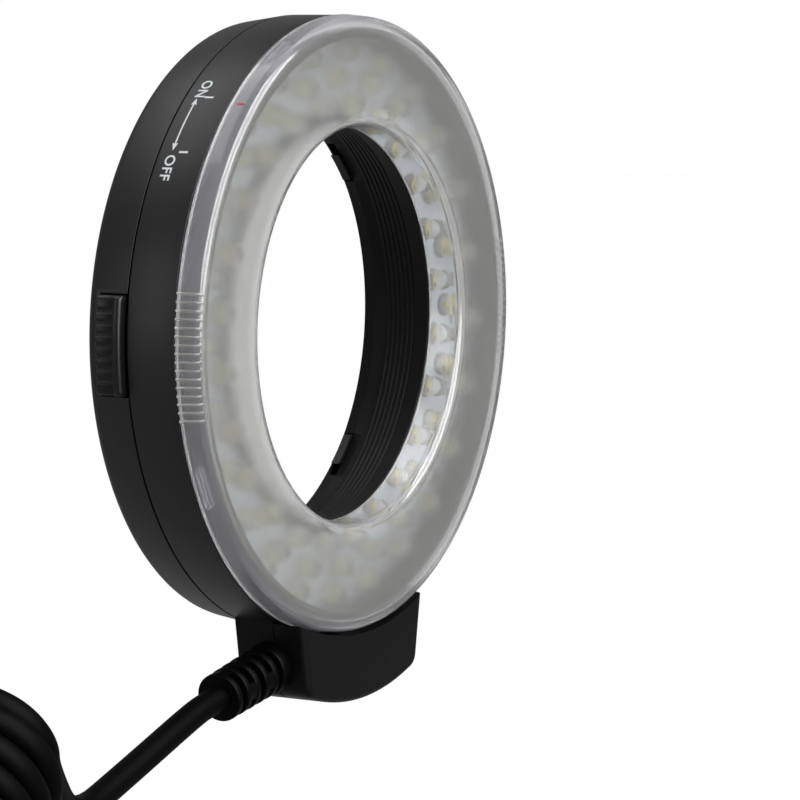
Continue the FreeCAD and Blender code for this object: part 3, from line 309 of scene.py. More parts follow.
FINISHES = (
    Finish("shell_black", (0.007, 0.007, 0.0085), (0.05, 0.05, 0.058), 0.4, specular=0.3),
    Finish("bore_black", (0.004, 0.004, 0.005), grey(0.02), 0.5, specular=0.09),
    Finish("block_black", grey(0.003), grey(0.02), 0.42, specular=0.09),
    Finish("button_black", grey(0.004), grey(0.03), 0.36, specular=0.25),
    Finish("cord_rubber", grey(0.0022), grey(0.015), 0.5, grain=3000, specular=0.022),
    Finish("relief_rubber", grey(0.0018), grey(0.012), 0.42, grain=3000, specular=0.035),
    Finish("board_white", (0.66, 0.71, 0.78), grey(0.8), 0.35, dust=0.02),
    Finish("lamp_cup", (0.84, 0.81, 0.68), (0.88, 0.86, 0.8), 0.25, dust=0.0),
    Finish("lamp_phosphor", (0.92, 0.78, 0.04), (0.92, 0.8, 0.1), 0.5, dust=0.0),
    ClearFinish("lamp_clear", (0.97, 0.98, 1.0), 0.08, inner=0.08, milk=0.14, depth=0.0),
    ClearFinish("diffuser_frosted", (0.78, 0.78, 0.76), 0.24, inner=0.15, milk=0.11),
    ClearFinish("diffuser_satin", (0.86, 0.86, 0.90), 0.15, milk=0.12, depth=0.0000005),
    # Paler, milkier copy of the rim's plastic, put on its rear edge and ribs as a painted highlight.
    ClearFinish("diffuser_edge", (0.72, 0.70, 0.66), 0.2, milk=0.32),
    Finish("spring_steel", grey(0.6), grey(0.7), 0.3, metallic=1.0, dust=0.0),
    Finish("screw_black", grey(0.07), grey(0.2), 0.35, metallic=1.0),
    Finish("slider_black", grey(0.01), grey(0.05), 0.5, specular=0.2),
    Finish("contact_gilt", (0.86, 0.66, 0.30), (0.9, 0.75, 0.4), 0.2, metallic=1.0, dust=0.0),
    Finish("board_green", (0.02, 0.13, 0.06), (0.1, 0.25, 0.15), 0.35),
    Finish("chip_black", grey(0.02), grey(0.1), 0.3),
    Finish("solder", (0.66, 0.66, 0.68), grey(0.8), 0.3, metallic=1.0, dust=0.0),
    Finish("connector_white", (0.7, 0.69, 0.64), (0.8, 0.8, 0.76), 0.4),
    Finish("wire_red", (0.4, 0.02, 0.02), (0.5, 0.1, 0.1), 0.35),
    Finish("wire_grey", grey(0.12), grey(0.2), 0.4),
    Finish("print_white", (0.85, 0.9, 0.93), grey(0.9), 0.6, dust=0.0),
    Finish("print_red", (0.55, 0.05, 0.08), (0.5, 0.1, 0.1), 0.6, dust=0.0),
)


# Mesh making

def new_object(name: str, mesh: Mesh, materials: Sequence[Material], crease: float = CREASE,
               unit: float = MM) -> Thing:
    """Turn a bmesh into an object in metres at the origin.

    Args:
        name: Name of the object.
        mesh: The bmesh, which is freed.
        materials: Its material slots.
        crease: Angle in degrees past which an edge stays sharp.
        unit: Length of the bmesh's unit in metres.

    Returns:
        The object, with smooth faces.
    """
    if unit != 1.0:
        bmesh.ops.scale(mesh, vec=(unit, unit, unit), verts=mesh.verts)
    data = bpy.data.meshes.new(name)
    mesh.to_mesh(data)
    mesh.free()
    for material in materials:
        data.materials.append(material)
    smooth(data, crease)
    made = bpy.data.objects.new(name, data)
    bpy.context.scene.collection.objects.link(made)
    return made


def smooth(data: bpy.types.Mesh, crease: float = CREASE) -> None:
    """Shade a mesh smooth, with sharp edges past an angle in degrees."""
    data.shade_smooth()
    data.set_sharp_from_angle(angle=math.radians(crease))


def discard(*things: Thing) -> None:
    """Remove objects and their meshes."""
    for thing in things:
        data = thing.data
        bpy.data.objects.remove(thing)
        bpy.data.meshes.remove(data)


def arc(centre: Vector, start: Vector, end: Vector, steps: int) -> list[Point]:
    """Give the points of an arc from one spoke of a centre to another."""
    turn = start.angle_signed(end)
    points = []
    for step in range(steps + 1):
        spoke = start.copy()
        spoke.rotate(Matrix.Rotation(-turn * step / steps, 2))
        points.append(tuple(centre + spoke))
    return points


def rounded_outline(corners: Sequence[Place], steps: int) -> list[Point]:
    """Round the corners of a closed outline.

    Args:
        corners: (across, along, radius) of each corner.
        steps: Straight pieces in each rounded corner.

    Returns:
        The outline's points in order.
    """
    outline: list[Point] = []
    for index, (across, along, radius) in enumerate(corners):
        here = Vector((across, along))
        before = Vector(corners[index - 1][:2]) - here
        after = Vector(corners[(index + 1) % len(corners)][:2]) - here
        if radius <= 0:
            outline.append((across, along))
            continue
        half = before.angle(after) / 2
        trim = min(radius / math.tan(half), before.length * 0.49, after.length * 0.49)
        reach = trim * math.tan(half) / math.sin(half)
        centre = here + (before.normalized() + after.normalized()).normalized() * reach
        start = here + before.normalized() * trim - centre
        outline += arc(centre, start, here + after.normalized() * trim - centre, steps)
    return outline


def lathe(outline: Sequence[Point], angles: Sequence[float] | int,
          slots: Callable[[float, float, float], int] | None = None,
          stand: Callable[[float, float, float], float] | None = None, closed: bool = True) -> Mesh:
    """Turn a closed (radius, place) outline round the lens axis.

    Args:
        outline: Closed outline in millimetres.
        angles: Angles in degrees of its copies, or how many equal steps.
        slots: Gives a face's material slot from its middle's radius, place and angle.
        stand: Gives how far a point stands out from its radius, place and angle.
        closed: Whether the turning goes all the way round.

    Returns:
        A closed bmesh whose faces point outwards.
    """
    if isinstance(angles, int):
        angles = [360 * step / angles for step in range(angles)]
    mesh = bmesh.new()
    rings = []
    for degrees in angles:
        angle = math.radians(degrees)
        ring = []
        for radius, place in outline:
            reach = radius + (stand(radius, place, degrees) if stand else 0.0)
            ring.append(mesh.verts.new((reach * math.cos(angle), place, reach * math.sin(angle))))
        rings.append(ring)
    ends = [*angles[1:], angles[0] + 360]
    for number in range(len(rings) if closed else len(rings) - 1):
        one, two = rings[number], rings[(number + 1) % len(rings)]
        degrees = (angles[number] + ends[number]) / 2
        for index, (radius, place) in enumerate(outline):
            after = (index + 1) % len(outline)
            face = mesh.faces.new((one[index], one[after], two[after], two[index]))
            if slots:
                middle = (radius + outline[after][0]) / 2, (place + outline[after][1]) / 2
                face.material_index = slots(*middle, degrees)
    if not closed:
        mesh.faces.new(rings[0])
        mesh.faces.new(list(reversed(rings[-1])))
    if min(radius for radius, _ in outline) < 1e-6:
        bmesh.ops.remove_doubles(mesh, verts=mesh.verts, dist=1e-6)
    bmesh.ops.recalc_face_normals(mesh, faces=mesh.faces)
    return mesh


def loft(sections: Sequence[Sequence[Place]]) -> Mesh:
    """Join closed sections that have the same number of points, and close both ends."""
    mesh = bmesh.new()
    rings = [[mesh.verts.new(point) for point in section] for section in sections]
    for one, two in zip(rings, rings[1:]):
        for index in range(len(one)):
            after = (index + 1) % len(one)
            mesh.faces.new((one[index], one[after], two[after], two[index]))
    mesh.faces.new(rings[0])
    mesh.faces.new(list(reversed(rings[-1])))
    bmesh.ops.recalc_face_normals(mesh, faces=mesh.faces)
    return mesh


def extruded(outline: Sequence[Point], front: float, rear: float) -> Mesh:
    """Extrude a closed (x, z) outline along the lens axis, from its front to its rear place."""
    return loft([[(x, place, z) for x, z in outline] for place in (front, rear)])


def bevelled(mesh: Mesh, place: float, width: float, segments: int, beyond: float = 0.0) -> Mesh:
    """Round the edges of a bmesh that lie in one plane across the lens axis.

    Args:
        mesh: The bmesh.
        place: Place of the plane along the axis.
        width: Width of the rounding.
        segments: Steps across it.
        beyond: Edges nearer the axis than this radius stay sharp.

    Returns:
        The same bmesh.
    """
    edges = [edge for edge in mesh.edges if all(abs(vert.co.y - place) < 1e-4 for vert in edge.verts)
             and max(math.hypot(vert.co.x, vert.co.z) for vert in edge.verts) > beyond]
    bmesh.ops.bevel(mesh, geom=edges, offset=width, offset_type="OFFSET", segments=segments, profile=0.5,
                    affect="EDGES", clamp_overlap=True)
    bmesh.ops.recalc_face_normals(mesh, faces=mesh.faces)
    return mesh


def box_mesh(low: Place, high: Place) -> Mesh:
    """Make a box between two corners in millimetres."""
    mesh = bmesh.new()
    middle = Vector([(a + b) / 2 for a, b in zip(low, high)])
    size = [b - a for a, b in zip(low, high)]
    bmesh.ops.create_cube(mesh, size=1.0, matrix=Matrix.Translation(middle) @ Matrix.Diagonal((*size, 1)))
    return mesh


def rod_mesh(start: Place, end: Place, radius: float, sides: int) -> Mesh:
    """Make a closed rod between two points in millimetres."""
    mesh = bmesh.new()
    way = Vector(end) - Vector(start)
    turn = way.to_track_quat("Z", "Y").to_matrix().to_4x4()
    middle = Matrix.Translation((Vector(start) + Vector(end)) / 2)
    bmesh.ops.create_cone(mesh, cap_ends=True, segments=sides, radius1=radius, radius2=radius,
                          depth=way.length, matrix=middle @ turn)
    return mesh


def moved(mesh: Mesh, matrix: Matrix) -> Mesh:
    """Move a bmesh by a matrix."""
    bmesh.ops.transform(mesh, matrix=matrix, verts=mesh.verts)
    return mesh


def merge(*meshes: Mesh) -> Mesh:
    """Put several bmeshes into the first and free the rest."""
    whole = meshes[0]
    for other in meshes[1:]:
        carried = bpy.data.meshes.new("carried")
        other.to_mesh(carried)
        other.free()
        whole.from_mesh(carried)
        bpy.data.meshes.remove(carried)
    return whole


def joined(name: str, parts: Sequence[Thing], crease: float = CREASE) -> Thing:
    """Join objects into one that keeps each one's materials.

    Args:
        name: Name of the new object.
        parts: The objects, which are removed.
        crease: Angle in degrees past which an edge stays sharp.

    Returns:
        The new object.
    """
    mesh = bmesh.new()
    materials: list[Material] = []
    for part in parts:
        for material in part.data.materials:
            if material not in materials:
                materials.append(material)
        slots = [materials.index(material) for material in part.data.materials]
        start = len(mesh.faces)
        mesh.from_mesh(part.data)
        mesh.faces.ensure_lookup_table()
        for face in mesh.faces[start:]:
            face.material_index = slots[min(face.material_index, len(slots) - 1)]
    discard(*parts)
    return new_object(name, mesh, materials, crease, 1.0)


def evaluated(thing: Thing) -> bpy.types.Mesh:
    """Give a new mesh of what an object's modifiers or its text make."""
    graph = bpy.context.evaluated_depsgraph_get()
    return bpy.data.meshes.new_from_object(thing.evaluated_get(graph), depsgraph=graph)


def swap_mesh(target: Thing, modifier: bpy.types.Modifier) -> None:
    """Replace an object's mesh by what its modifier makes of it, and remove the modifier."""
    result = evaluated(target)
    target.modifiers.remove(modifier)
    old = target.data
    target.data = result
    bpy.data.meshes.remove(old)


def cut(target: Thing, *tools: Mesh) -> None:
    """Cut shapes out of an object."""
    for tool in tools:
        cutter = new_object("tool", tool, list(target.data.materials))
        modifier = target.modifiers.new("boolean", "BOOLEAN")
        modifier.operation = "DIFFERENCE"
        modifier.solver = "EXACT"
        modifier.object = cutter
        swap_mesh(target, modifier)
        discard(cutter)


def soften(target: Thing, width: float, angle: float) -> None:
    """Round the edges sharper than an angle in degrees by a small bevel, and shade them cleanly."""
    weld = bmesh.new()
    weld.from_mesh(target.data)
    bmesh.ops.remove_doubles(weld, verts=weld.verts, dist=1e-7)
    bmesh.ops.dissolve_degenerate(weld, edges=weld.edges, dist=1e-7)
    weld.to_mesh(target.data)
    weld.free()
    modifier = target.modifiers.new("bevel", "BEVEL")
    modifier.width = width * MM
    modifier.segments = 2
    modifier.limit_method = "ANGLE"
    modifier.angle_limit = math.radians(angle)
    modifier.use_clamp_overlap = True
    swap_mesh(target, modifier)
    smooth(target.data, 40)


def place_piece(made: Thing, body: Body, slot: str, *nodes: str) -> Thing:
    """Put a piece on its body and hide the nodes that it stands for."""
    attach(made, body.value)
    if nodes:
        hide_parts(*nodes)
    LOG.info("%s: %d faces", made.name, len(made.data.polygons) if made.type == "MESH" else 0)
    return made


# What repeats

class Repeats:
    """Geometry node trees that set out the pieces that repeat, and wind the springs."""

    def __init__(self) -> None:
        """Build the trees once."""
        self.round_tree = self._round_axis()
        self.line_tree = self._along_line()
        self.points_tree = self._at_points()
        self.spring_tree = self._wound_spring()

    @staticmethod
    def _begin(name: str, **inputs: str) -> Graph:
        """Start a tree with inputs given by name and type, and a Material."""
        inputs["Material"] = "Material"
        return Graph(name, "GeometryNodeTree", inputs, {"Geometry": "Geometry"})

    @staticmethod
    def _finish(graph: Graph, shape: Socket) -> Tree:
        """End a tree: realise what it made, give it its material and send it out."""
        real = graph.add("GeometryNodeRealizeInstances", {"Geometry": shape}).outputs["Geometry"]
        feeds = {"Geometry": real, "Material": graph.given["Material"]}
        dressed = graph.add("GeometryNodeSetMaterial", feeds)
        graph.feed(graph.result, {"Geometry": dressed.outputs["Geometry"]})
        return graph.tree

    def _copies(self, graph: Graph, points: Socket, rotation: Socket, **more: Socket) -> Tree:
        """End a tree with a copy of its Piece on each point."""
        piece = graph.add("GeometryNodeObjectInfo", {"Object": graph.given["Piece"]}).outputs["Geometry"]
        feeds = {"Points": points, "Instance": piece, "Rotation": rotation, **more}
        return self._finish(graph, graph.add("GeometryNodeInstanceOnPoints", feeds).outputs["Instances"])

    def _round_axis(self) -> Tree:
        """Build the tree that turns copies of a piece round the lens axis."""
        graph = self._begin("pieces_round_axis", Piece="Object", Count="Int", First="Float", Step="Float")
        number = graph.add("GeometryNodeInputIndex").outputs[0]
        turned = graph.math("MULTIPLY", number, graph.given["Step"])
        angle = graph.math("MULTIPLY", graph.math("ADD", turned, graph.given["First"]), -1.0)
        spin = graph.add("ShaderNodeCombineXYZ", {"Y": angle})
        points = graph.add("GeometryNodePoints", {"Count": graph.given["Count"]})
        return self._copies(graph, points.outputs[0], spin.outputs[0])

    def _along_line(self) -> Tree:
        """Build the tree that sets copies of a piece along local X, changing in size and turning."""
        graph = self._begin("pieces_along_line", Piece="Object", Count="Int", Start="Float",
                            Pitch="Float", First="Float", Last="Float", Turn="Float")
        given = graph.given
        number = graph.add("GeometryNodeInputIndex").outputs[0]
        place = graph.math("ADD", graph.math("MULTIPLY", number, given["Pitch"]), given["Start"])
        spot = graph.add("ShaderNodeCombineXYZ", {"X": place})
        spin = graph.add("ShaderNodeCombineXYZ", {"X": graph.math("MULTIPLY", number, given["Turn"])})
        last = graph.math("MAXIMUM", graph.math("SUBTRACT", given["Count"], 1.0), 1.0)
        grown = graph.math("SUBTRACT", given["Last"], given["First"])
        share = graph.math("DIVIDE", number, last)
        size = graph.math("ADD", graph.math("MULTIPLY", grown, share), given["First"])
        scale = graph.add("ShaderNodeCombineXYZ", {"X": 1.0, "Y": size, "Z": size})
        feeds = {"Count": given["Count"], "Position": spot.outputs[0]}
        points = graph.add("GeometryNodePoints", feeds)
        return self._copies(graph, points.outputs[0], spin.outputs[0], Scale=scale.outputs[0])

    def _at_points(self) -> Tree:
        """Build the tree that sets a piece on each point, each turned by chance about the lens axis."""
        graph = self._begin("pieces_at_points", Geometry="Geometry", Piece="Object", Most="Float",
                            Seed="Int")
        chance = graph.add("FunctionNodeRandomValue", data_type="FLOAT")
        numbers = {item.name: number for number, item in enumerate(chance.inputs) if item.enabled}
        graph.feed(chance, {numbers["Max"]: graph.given["Most"], numbers["Seed"]: graph.given["Seed"]})
        value = next(item for item in chance.outputs if item.enabled)
        spin = graph.add("ShaderNodeCombineXYZ", {"Y": value})
        return self._copies(graph, graph.given["Geometry"], spin.outputs[0])

    def _wound_spring(self) -> Tree:
        """Build the tree that winds a spring along local Z."""
        graph = self._begin("wound_spring", Turns="Float", Radius="Float", Length="Float", Wire="Float")
        radius = graph.given["Radius"]
        feeds = {"Resolution": 28, "Rotations": graph.given["Turns"], "Start Radius": radius,
                 "End Radius": radius, "Height": graph.given["Length"]}
        coil = graph.add("GeometryNodeCurveSpiral", feeds).outputs["Curve"]
        feeds = {"Resolution": 10, "Radius": graph.given["Wire"]}
        wire = graph.add("GeometryNodeCurvePrimitiveCircle", feeds).outputs["Curve"]
        feeds = {"Curve": coil, "Profile Curve": wire, "Fill Caps": True}
        return self._finish(graph, graph.add("GeometryNodeCurveToMesh", feeds).outputs["Mesh"])

    def grow(self, tree: Tree, name: str, base: Mesh | None = None, **values: Any) -> Thing:
        """Evaluate a tree into a plain mesh.

        Args:
            tree: One of the trees.
            name: Name of the object.
            base: Mesh that the tree starts from, in millimetres.
            **values: The tree's inputs; its Piece is given as a bmesh.

        Returns:
            An object at the origin with no modifier.
        """
        if "Piece" in values:
            values["Piece"] = new_object("piece", values["Piece"], [])
        made = new_object(name, base or bmesh.new(), [])
        modifier = made.modifiers.new("repeat", "NODES")
        modifier.node_group = tree
        for item in tree.interface.items_tree:
            if item.in_out == "INPUT" and item.name in values:
                modifier[item.identifier] = values[item.name]
        swap_mesh(made, modifier)
        if "Piece" in values:
            discard(values["Piece"])
        return made

    def round_axis(self, name: str, piece: Mesh, count: int, first: float, material: Material) -> Thing:
        """Spread copies of a piece, modelled at angle 0, evenly round the lens axis from an angle."""
        return self.grow(self.round_tree, name, Piece=piece, Count=count, First=math.radians(first),
                         Step=math.radians(360 / count), Material=material)

    def along_line(self, name: str, piece: Mesh, count: int, start: float, pitch: float, sizes: Point,
                   turn: float, material: Material) -> Thing:
        """Set copies of a piece along local X, with first and last size, each turned by an angle."""
        return self.grow(self.line_tree, name, Piece=piece, Count=count, Start=start * MM,
                         Pitch=pitch * MM, First=sizes[0], Last=sizes[1], Turn=math.radians(turn),
                         Material=material)

    def at_points(self, name: str, piece: Mesh, points: Sequence[Place], seed: int,
                  material: Material) -> Thing:
        """Set a piece on each point, turned by chance with a fixed seed."""
        base = bmesh.new()
        for point in points:
            base.verts.new(point)
        return self.grow(self.points_tree, name, base, Piece=piece, Most=math.pi / 2, Seed=seed,
                         Material=material)


class Workshop:
    """What every sub-assembly is made with: the frame's nodes, the finishes and the repeats."""

    def __init__(self, nodes: dict[str, Thing]) -> None:
        """Build the finishes and the trees once."""
        self.nodes = nodes
        moulded, clear = moulded_group(), clear_group()
        self.finishes = {finish.name: finish.build(clear if isinstance(finish, ClearFinish) else moulded)
                         for finish in FINISHES}
        self.repeats = Repeats()

    def __getitem__(self, finish: str) -> Material:
        """Give the material of a finish."""
        return self.finishes[finish]

    def dress(self, node: str, finish: str) -> Thing:
        """Give a node of the frame a finish."""
        target = self.nodes[node]
        if not target.data.materials:
            target.data.materials.append(self[finish])
        for slot in target.material_slots:
            slot.material = self[finish]
        return target


# Sub-assemblies

@dataclass
class Studio:
    """Camera, lamps, world, floor and backdrop.

    Attributes:
        eye: Place of the camera, in millimetres.
        target: Point that it looks at, in millimetres.
        focal: Focal length in millimetres, for a sensor 36 mm wide.
        floor: Height of the floor, in millimetres.
        ambient: Strength of the world for light that the camera doesn't see.
        through: Strength of the world as seen through clear plastic.
        front: Place of the two lamps before the ring, in metres.
        front_along: Direction of their long side.
    """

    eye: Place = (-596.67, -366.18, 60.34)
    target: Place = (2.60, -27.33, -14.60)
    focal: float = 159.17
    floor: float = -260.0
    ambient: float = 0.3
    through: float = 0.64
    front: Place = (-0.17, -1.28, 0.85)
    front_along: Place = (1.05, 0.47, 0.83)

    def build(self) -> None:
        """Set up the whole studio."""
        scene = bpy.context.scene
        scene.view_settings.view_transform = "Standard"
        data = bpy.data.cameras.new("camera")
        data.lens = self.focal
        data.sensor_width = 36.0
        data.clip_start = 0.01
        data.clip_end = 50.0
        camera = bpy.data.objects.new("camera", data)
        camera.location = Vector(self.eye) * MM
        way = Vector(self.target) - Vector(self.eye)
        camera.rotation_euler = way.to_track_quat("-Z", "Y").to_euler()
        scene.collection.objects.link(camera)
        scene.camera = camera
        self._world(scene)
        self._floor()
        self._lamp("key_strip", self.front, self.front_along, (2.4, 0.4), 13.0)
        self._lamp("overhead", (-0.15, 0.75, 1.25), (1.0, 0.0, 0.0), (1.2, 0.6), 6.0)
        self._lamp("rear_side", (-1.35, 0.8, 0.3), (0.0, 0.0, 1.0), (0.8, 0.4), 3.0)
        card = self._lamp("rim_card", self.front, self.front_along, (2.4, 1.4), 135.0)
        card.visible_diffuse = False
        card.visible_transmission = False

    def _seen(self, graph: Graph) -> Socket:
        """Give 1 for rays from the camera, less for rays through clear plastic and 0 for the others."""
        rays = graph.add("ShaderNodeLightPath").outputs
        through = graph.math("MULTIPLY", rays["Is Transmission Ray"], self.through)
        return graph.math("MAXIMUM", rays["Is Camera Ray"], through)

    def _world(self, scene: bpy.types.Scene) -> None:
        """Make a world that lights softly and shows white to the camera and through clear plastic."""
        world = bpy.data.worlds.new("studio")
        world.use_nodes = True
        scene.world = world
        graph = Graph.of(world.node_tree)
        feeds = {"Factor": self._seen(graph), "A": self.ambient, "B": 1.0}
        mix = graph.add("ShaderNodeMix", feeds, data_type="FLOAT")
        feeds = {"Strength": mix.outputs["Result"], "Color": (1, 1, 1, 1)}
        graph.feed(graph.tree.nodes["Background"], feeds)

    def _floor(self) -> None:
        """Make the white floor, which keeps a faint shadow."""
        mesh = bmesh.new()
        bmesh.ops.create_grid(mesh, x_segments=1, y_segments=1, size=6000.0,
                              matrix=Matrix.Translation((0, 0, self.floor)))
        material = bpy.data.materials.new("floor_white")
        material.use_nodes = True
        graph = Graph.of(material.node_tree)
        shader = graph.tree.nodes["Principled BSDF"]
        feeds = {"Base Color": (0.6, 0.6, 0.6, 1), "Roughness": 0.9, "Specular IOR Level": 0.1}
        graph.feed(shader, feeds)
        glow = graph.add("ShaderNodeEmission", {"Color": (1, 1, 1, 1), "Strength": 1.06})
        share = graph.math("MULTIPLY", self._seen(graph), 0.92)
        feeds = {0: share, 1: shader.outputs["BSDF"], 2: glow.outputs["Emission"]}
        blend = graph.add("ShaderNodeMixShader", feeds)
        graph.feed(graph.tree.nodes["Material Output"], {"Surface": blend.outputs["Shader"]})
        new_object("floor", mesh, [material])

    @staticmethod
    def _lamp(name: str, place: Place, along: Place, size: Point, power: float) -> Thing:
        """Add one soft lamp that points at the ring.

        Args:
            name: Name of the lamp.
            place: Place in metres.
            along: Direction of its first side.
            size: Both sides in metres.
            power: Power in watts.

        Returns:
            The lamp.
        """
        data = bpy.data.lights.new(name, "AREA")
        data.shape = "RECTANGLE"
        data.size, data.size_y = size
        data.energy = power
        lamp = bpy.data.objects.new(name, data)
        back = Vector(place).normalized()
        across = (Vector(along) - back * Vector(along).dot(back)).normalized()
        turn = Matrix((across, back.cross(across), back)).transposed().to_4x4()
        lamp.matrix_world = Matrix.Translation(place) @ turn
        bpy.context.scene.collection.objects.link(lamp)
        return lamp


@dataclass
class CordLine:
    """Cord: straight lead, curly stretch that droops, and a short tail to the plug.

    Attributes:
        diameter: Cord.
        curl_radius: Middle of the cord to the middle of a curl.
        points_per_curl: Points of the line in one curl.
        exit: Where the cord leaves the strain relief.
        lead: Points of the lead after that.
        coil_start: Start of the coil's axis.
        coil_way: Direction of the axis before it droops.
        phase: Angle in degrees at which the curls start.
        start_curl: Size of the first curl's start, as a share of the others.
        pitch: Spacing of the first curls.
        droop_pitch: Spacing of the curls that droop.
        straight_curls: Curls before the coil droops.
        droop_curls: Curls that droop.
        droop: Angle in degrees by which the axis bends down.
        leaving: Part of the last curl that leaves the coil for the tail.
        tail_bend: Drop of the tail over that part.
        tail_length: Tail.
        tail_sway: How far the tail's end is from the plumb line.
        plumb: Length of the last stretch, which hangs straight, in diameters.
    """

    diameter: float = 5.1
    curl_radius: float = 14.0
    points_per_curl: int = 16
    exit: Place = (-40.89, -12.6, -67.90)
    lead: tuple[Place, ...] = ((-44.9, -12.6, -68.56), (-48.94, -12.6, -69.23), (-73.0, -13.2, -76.3),
                               (-92.0, -13.9, -81.4))
    coil_start: Place = (-118.2, -14.3, -62.4)
    coil_way: Place = (-0.85, -0.18, -0.49)
    phase: float = 135.0
    start_curl: float = 0.8
    pitch: float = 5.6
    droop_pitch: float = 7.75
    straight_curls: int = 5
    droop_curls: int = 5
    droop: float = 40.0
    leaving: float = 0.75
    tail_bend: float = 16.0
    tail_length: float = 34.0
    tail_sway: Place = (1.4, 0.7, 0.0)
    plumb: float = 1.6

    def axis_at(self, turns: float) -> tuple[Vector, Vector, Vector]:
        """Give the point, the direction and the side of the coil's axis after a number of turns."""
        way = Vector(self.coil_way).normalized()
        side = way.cross(Vector((0, 0, 1))).normalized()
        corner = Vector(self.coil_start) + way * (min(turns, self.straight_curls) * self.pitch)
        if turns <= self.straight_curls:
            return corner, way, side
        radius = self.droop_curls * self.droop_pitch / math.radians(self.droop)
        beyond = (turns - self.straight_curls) * self.droop_pitch
        turn = Matrix.Rotation(-beyond / radius, 3, side)
        centre = corner + way.cross(side) * radius
        return centre + turn @ (corner - centre), turn @ way, side

    def curl_point(self, turns: float) -> Vector:
        """Give the point of the curly stretch after a number of turns."""
        centre, way, side = self.axis_at(turns)
        angle = math.radians(self.phase) + 2 * math.pi * turns
        grow = self.start_curl + (1 - self.start_curl) * min(turns, 1)
        outside = 1 / math.cos(math.pi / self.points_per_curl)
        radius = self.curl_radius * grow * outside
        return centre + side * (radius * math.cos(angle)) + way.cross(side) * (radius * math.sin(angle))

    def line(self) -> tuple[list[Vector], Vector]:
        """Give the control points of the whole line in millimetres, and the last of them."""
        turns = self.straight_curls + self.droop_curls
        centre, way, _ = self.axis_at(turns)
        tail = centre + way * (self.curl_radius * 1.3) + DOWN * (self.curl_radius * 0.5)
        end = tail + DOWN * (self.diameter + self.tail_length) + Vector(self.tail_sway)
        points = [Vector(self.exit)] + [Vector(point) for point in self.lead]
        for index in range(1, turns * self.points_per_curl + 1):
            turn = index / self.points_per_curl
            share = max(turn - (turns - self.leaving), 0) / self.leaving
            hanging = tail + DOWN * (self.tail_bend * share)
            points.append(self.curl_point(turn).lerp(hanging, share * share * (3 - 2 * share)))
        return points + [end - DOWN * self.plumb * self.diameter, end], end

    def build(self, shop: Workshop) -> None:
        points, end = self.line()
        data = bpy.data.curves.new("cord", "CURVE")
        data.dimensions = "3D"
        data.bevel_depth = self.diameter / 2 * MM
        data.bevel_resolution = 6
        data.resolution_u = 7
        data.use_fill_caps = True
        spline = data.splines.new("NURBS")
        spline.points.add(len(points) - 1)
        for item, point in zip(spline.points, points):
            item.co = (*(point * MM), 1)
        spline.order_u = 3
        spline.use_endpoint_u = True
        data.materials.append(shop["cord_rubber"])
        made = bpy.data.objects.new("cord", data)
        bpy.context.scene.collection.objects.link(made)
        place_piece(made, Body.HEAD, "cord_rubber", "lead_cord", "curly_cord", "tail_cord")
        pieces = Plug(tuple(end)).build(shop)


@dataclass
class Plug:
    """Plug that hangs from the cord's end: ringed boot, ribbed grip and the frame's own contacts.

    Attributes:
        top: Where the cord enters the boot.
        boot: Length of the boot.
        boot_radius: Its radius at the top.
        boot_rows: Its rings.
        grip: Length of the grip.
        grip_radius: Its radius.
        grip_ribs: Its ribs.
        waist: Its radius between its ends.
        collar: Length of the collar under the grip.
        collar_radius: Its radius.
    """

    top: Place
    boot: float = 11.0
    boot_radius: float = 3.4
    boot_rows: int = 4
    grip: float = 17.0
    grip_radius: float = 4.6
    grip_ribs: int = 18
    waist: float = 4.35
    collar: float = 1.2
    collar_radius: float = 3.1

    def build(self, shop: Workshop) -> list[Thing]:
        """Make the boot and the grip, dress the contacts and give all the pieces."""
        down = Matrix.Translation(Vector(self.top)) @ Matrix.Rotation(-QUARTER, 4, "X")
        gilt = [shop.dress(f"contact_{name}", "contact_gilt") for name in ("sleeve", "ring", "tip")]
        insulators = shop.dress("contact_insulators", "button_black")
        return [self._boot(down, shop), self._grip(down, shop), *gilt, insulators]

    def _boot(self, down: Matrix, shop: Workshop) -> Thing:
        """Make the boot with its rings."""
        wide = self.grip_radius - 0.5
        outline = [(0.0, 0.0), (self.boot_radius - 0.3, 0.0)]
        for row in range(self.boot_rows):
            for share, dip in ((0.0, 0.0), (0.55, 0.0), (0.62, 0.45), (0.93, 0.45)):
                place = 0.4 + (self.boot - 1.4) * (row + share) / self.boot_rows
                spread = (wide - self.boot_radius) * place / self.boot
                outline.append((self.boot_radius + spread - dip, place))
        outline += [(wide, self.boot - 0.9), (wide, self.boot), (0.0, self.boot)]
        boot = new_object("plug_boot_ringed", moved(lathe(outline, 40), down), [shop["cord_rubber"]])
        return place_piece(boot, Body.HEAD, "cord_rubber", "plug_boot")

    def _grip(self, down: Matrix, shop: Workshop) -> Thing:
        """Make the grip with its ribs and the collar."""
        foot = self.boot + self.grip
        wide, collar = self.grip_radius, self.collar_radius
        core = rounded_outline(((0.0, self.boot, 0), (wide, self.boot, 0.5),
                                (self.waist, self.boot + 0.9, 0.1), (self.waist, foot - 2.4, 0.1),
                                (wide, foot - 2.2, 0.1), (wide, foot, 0.5), (collar, foot, 0.1),
                                (collar, foot + self.collar, 0.2), (0.0, foot + self.collar, 0)), 3)
        black = shop["button_black"]
        shell = new_object("grip_core", lathe(core, 48), [black])
        rib = box_mesh((wide - 0.6, self.boot + 1.2, -0.28), (wide - 0.02, foot - 2.6, 0.28))
        ribs = shop.repeats.round_axis("grip_ribs", rib, self.grip_ribs, 0.0, black)
        grip = joined("plug_grip_ribbed", (shell, ribs))
        to_metres, to_millimetres = (Matrix.Diagonal((unit, unit, unit, 1)) for unit in (MM, 1 / MM))
        grip.data.transform(to_metres @ down @ to_millimetres)
        return place_piece(grip, Body.HEAD, "shell_plastic", "plug_body")


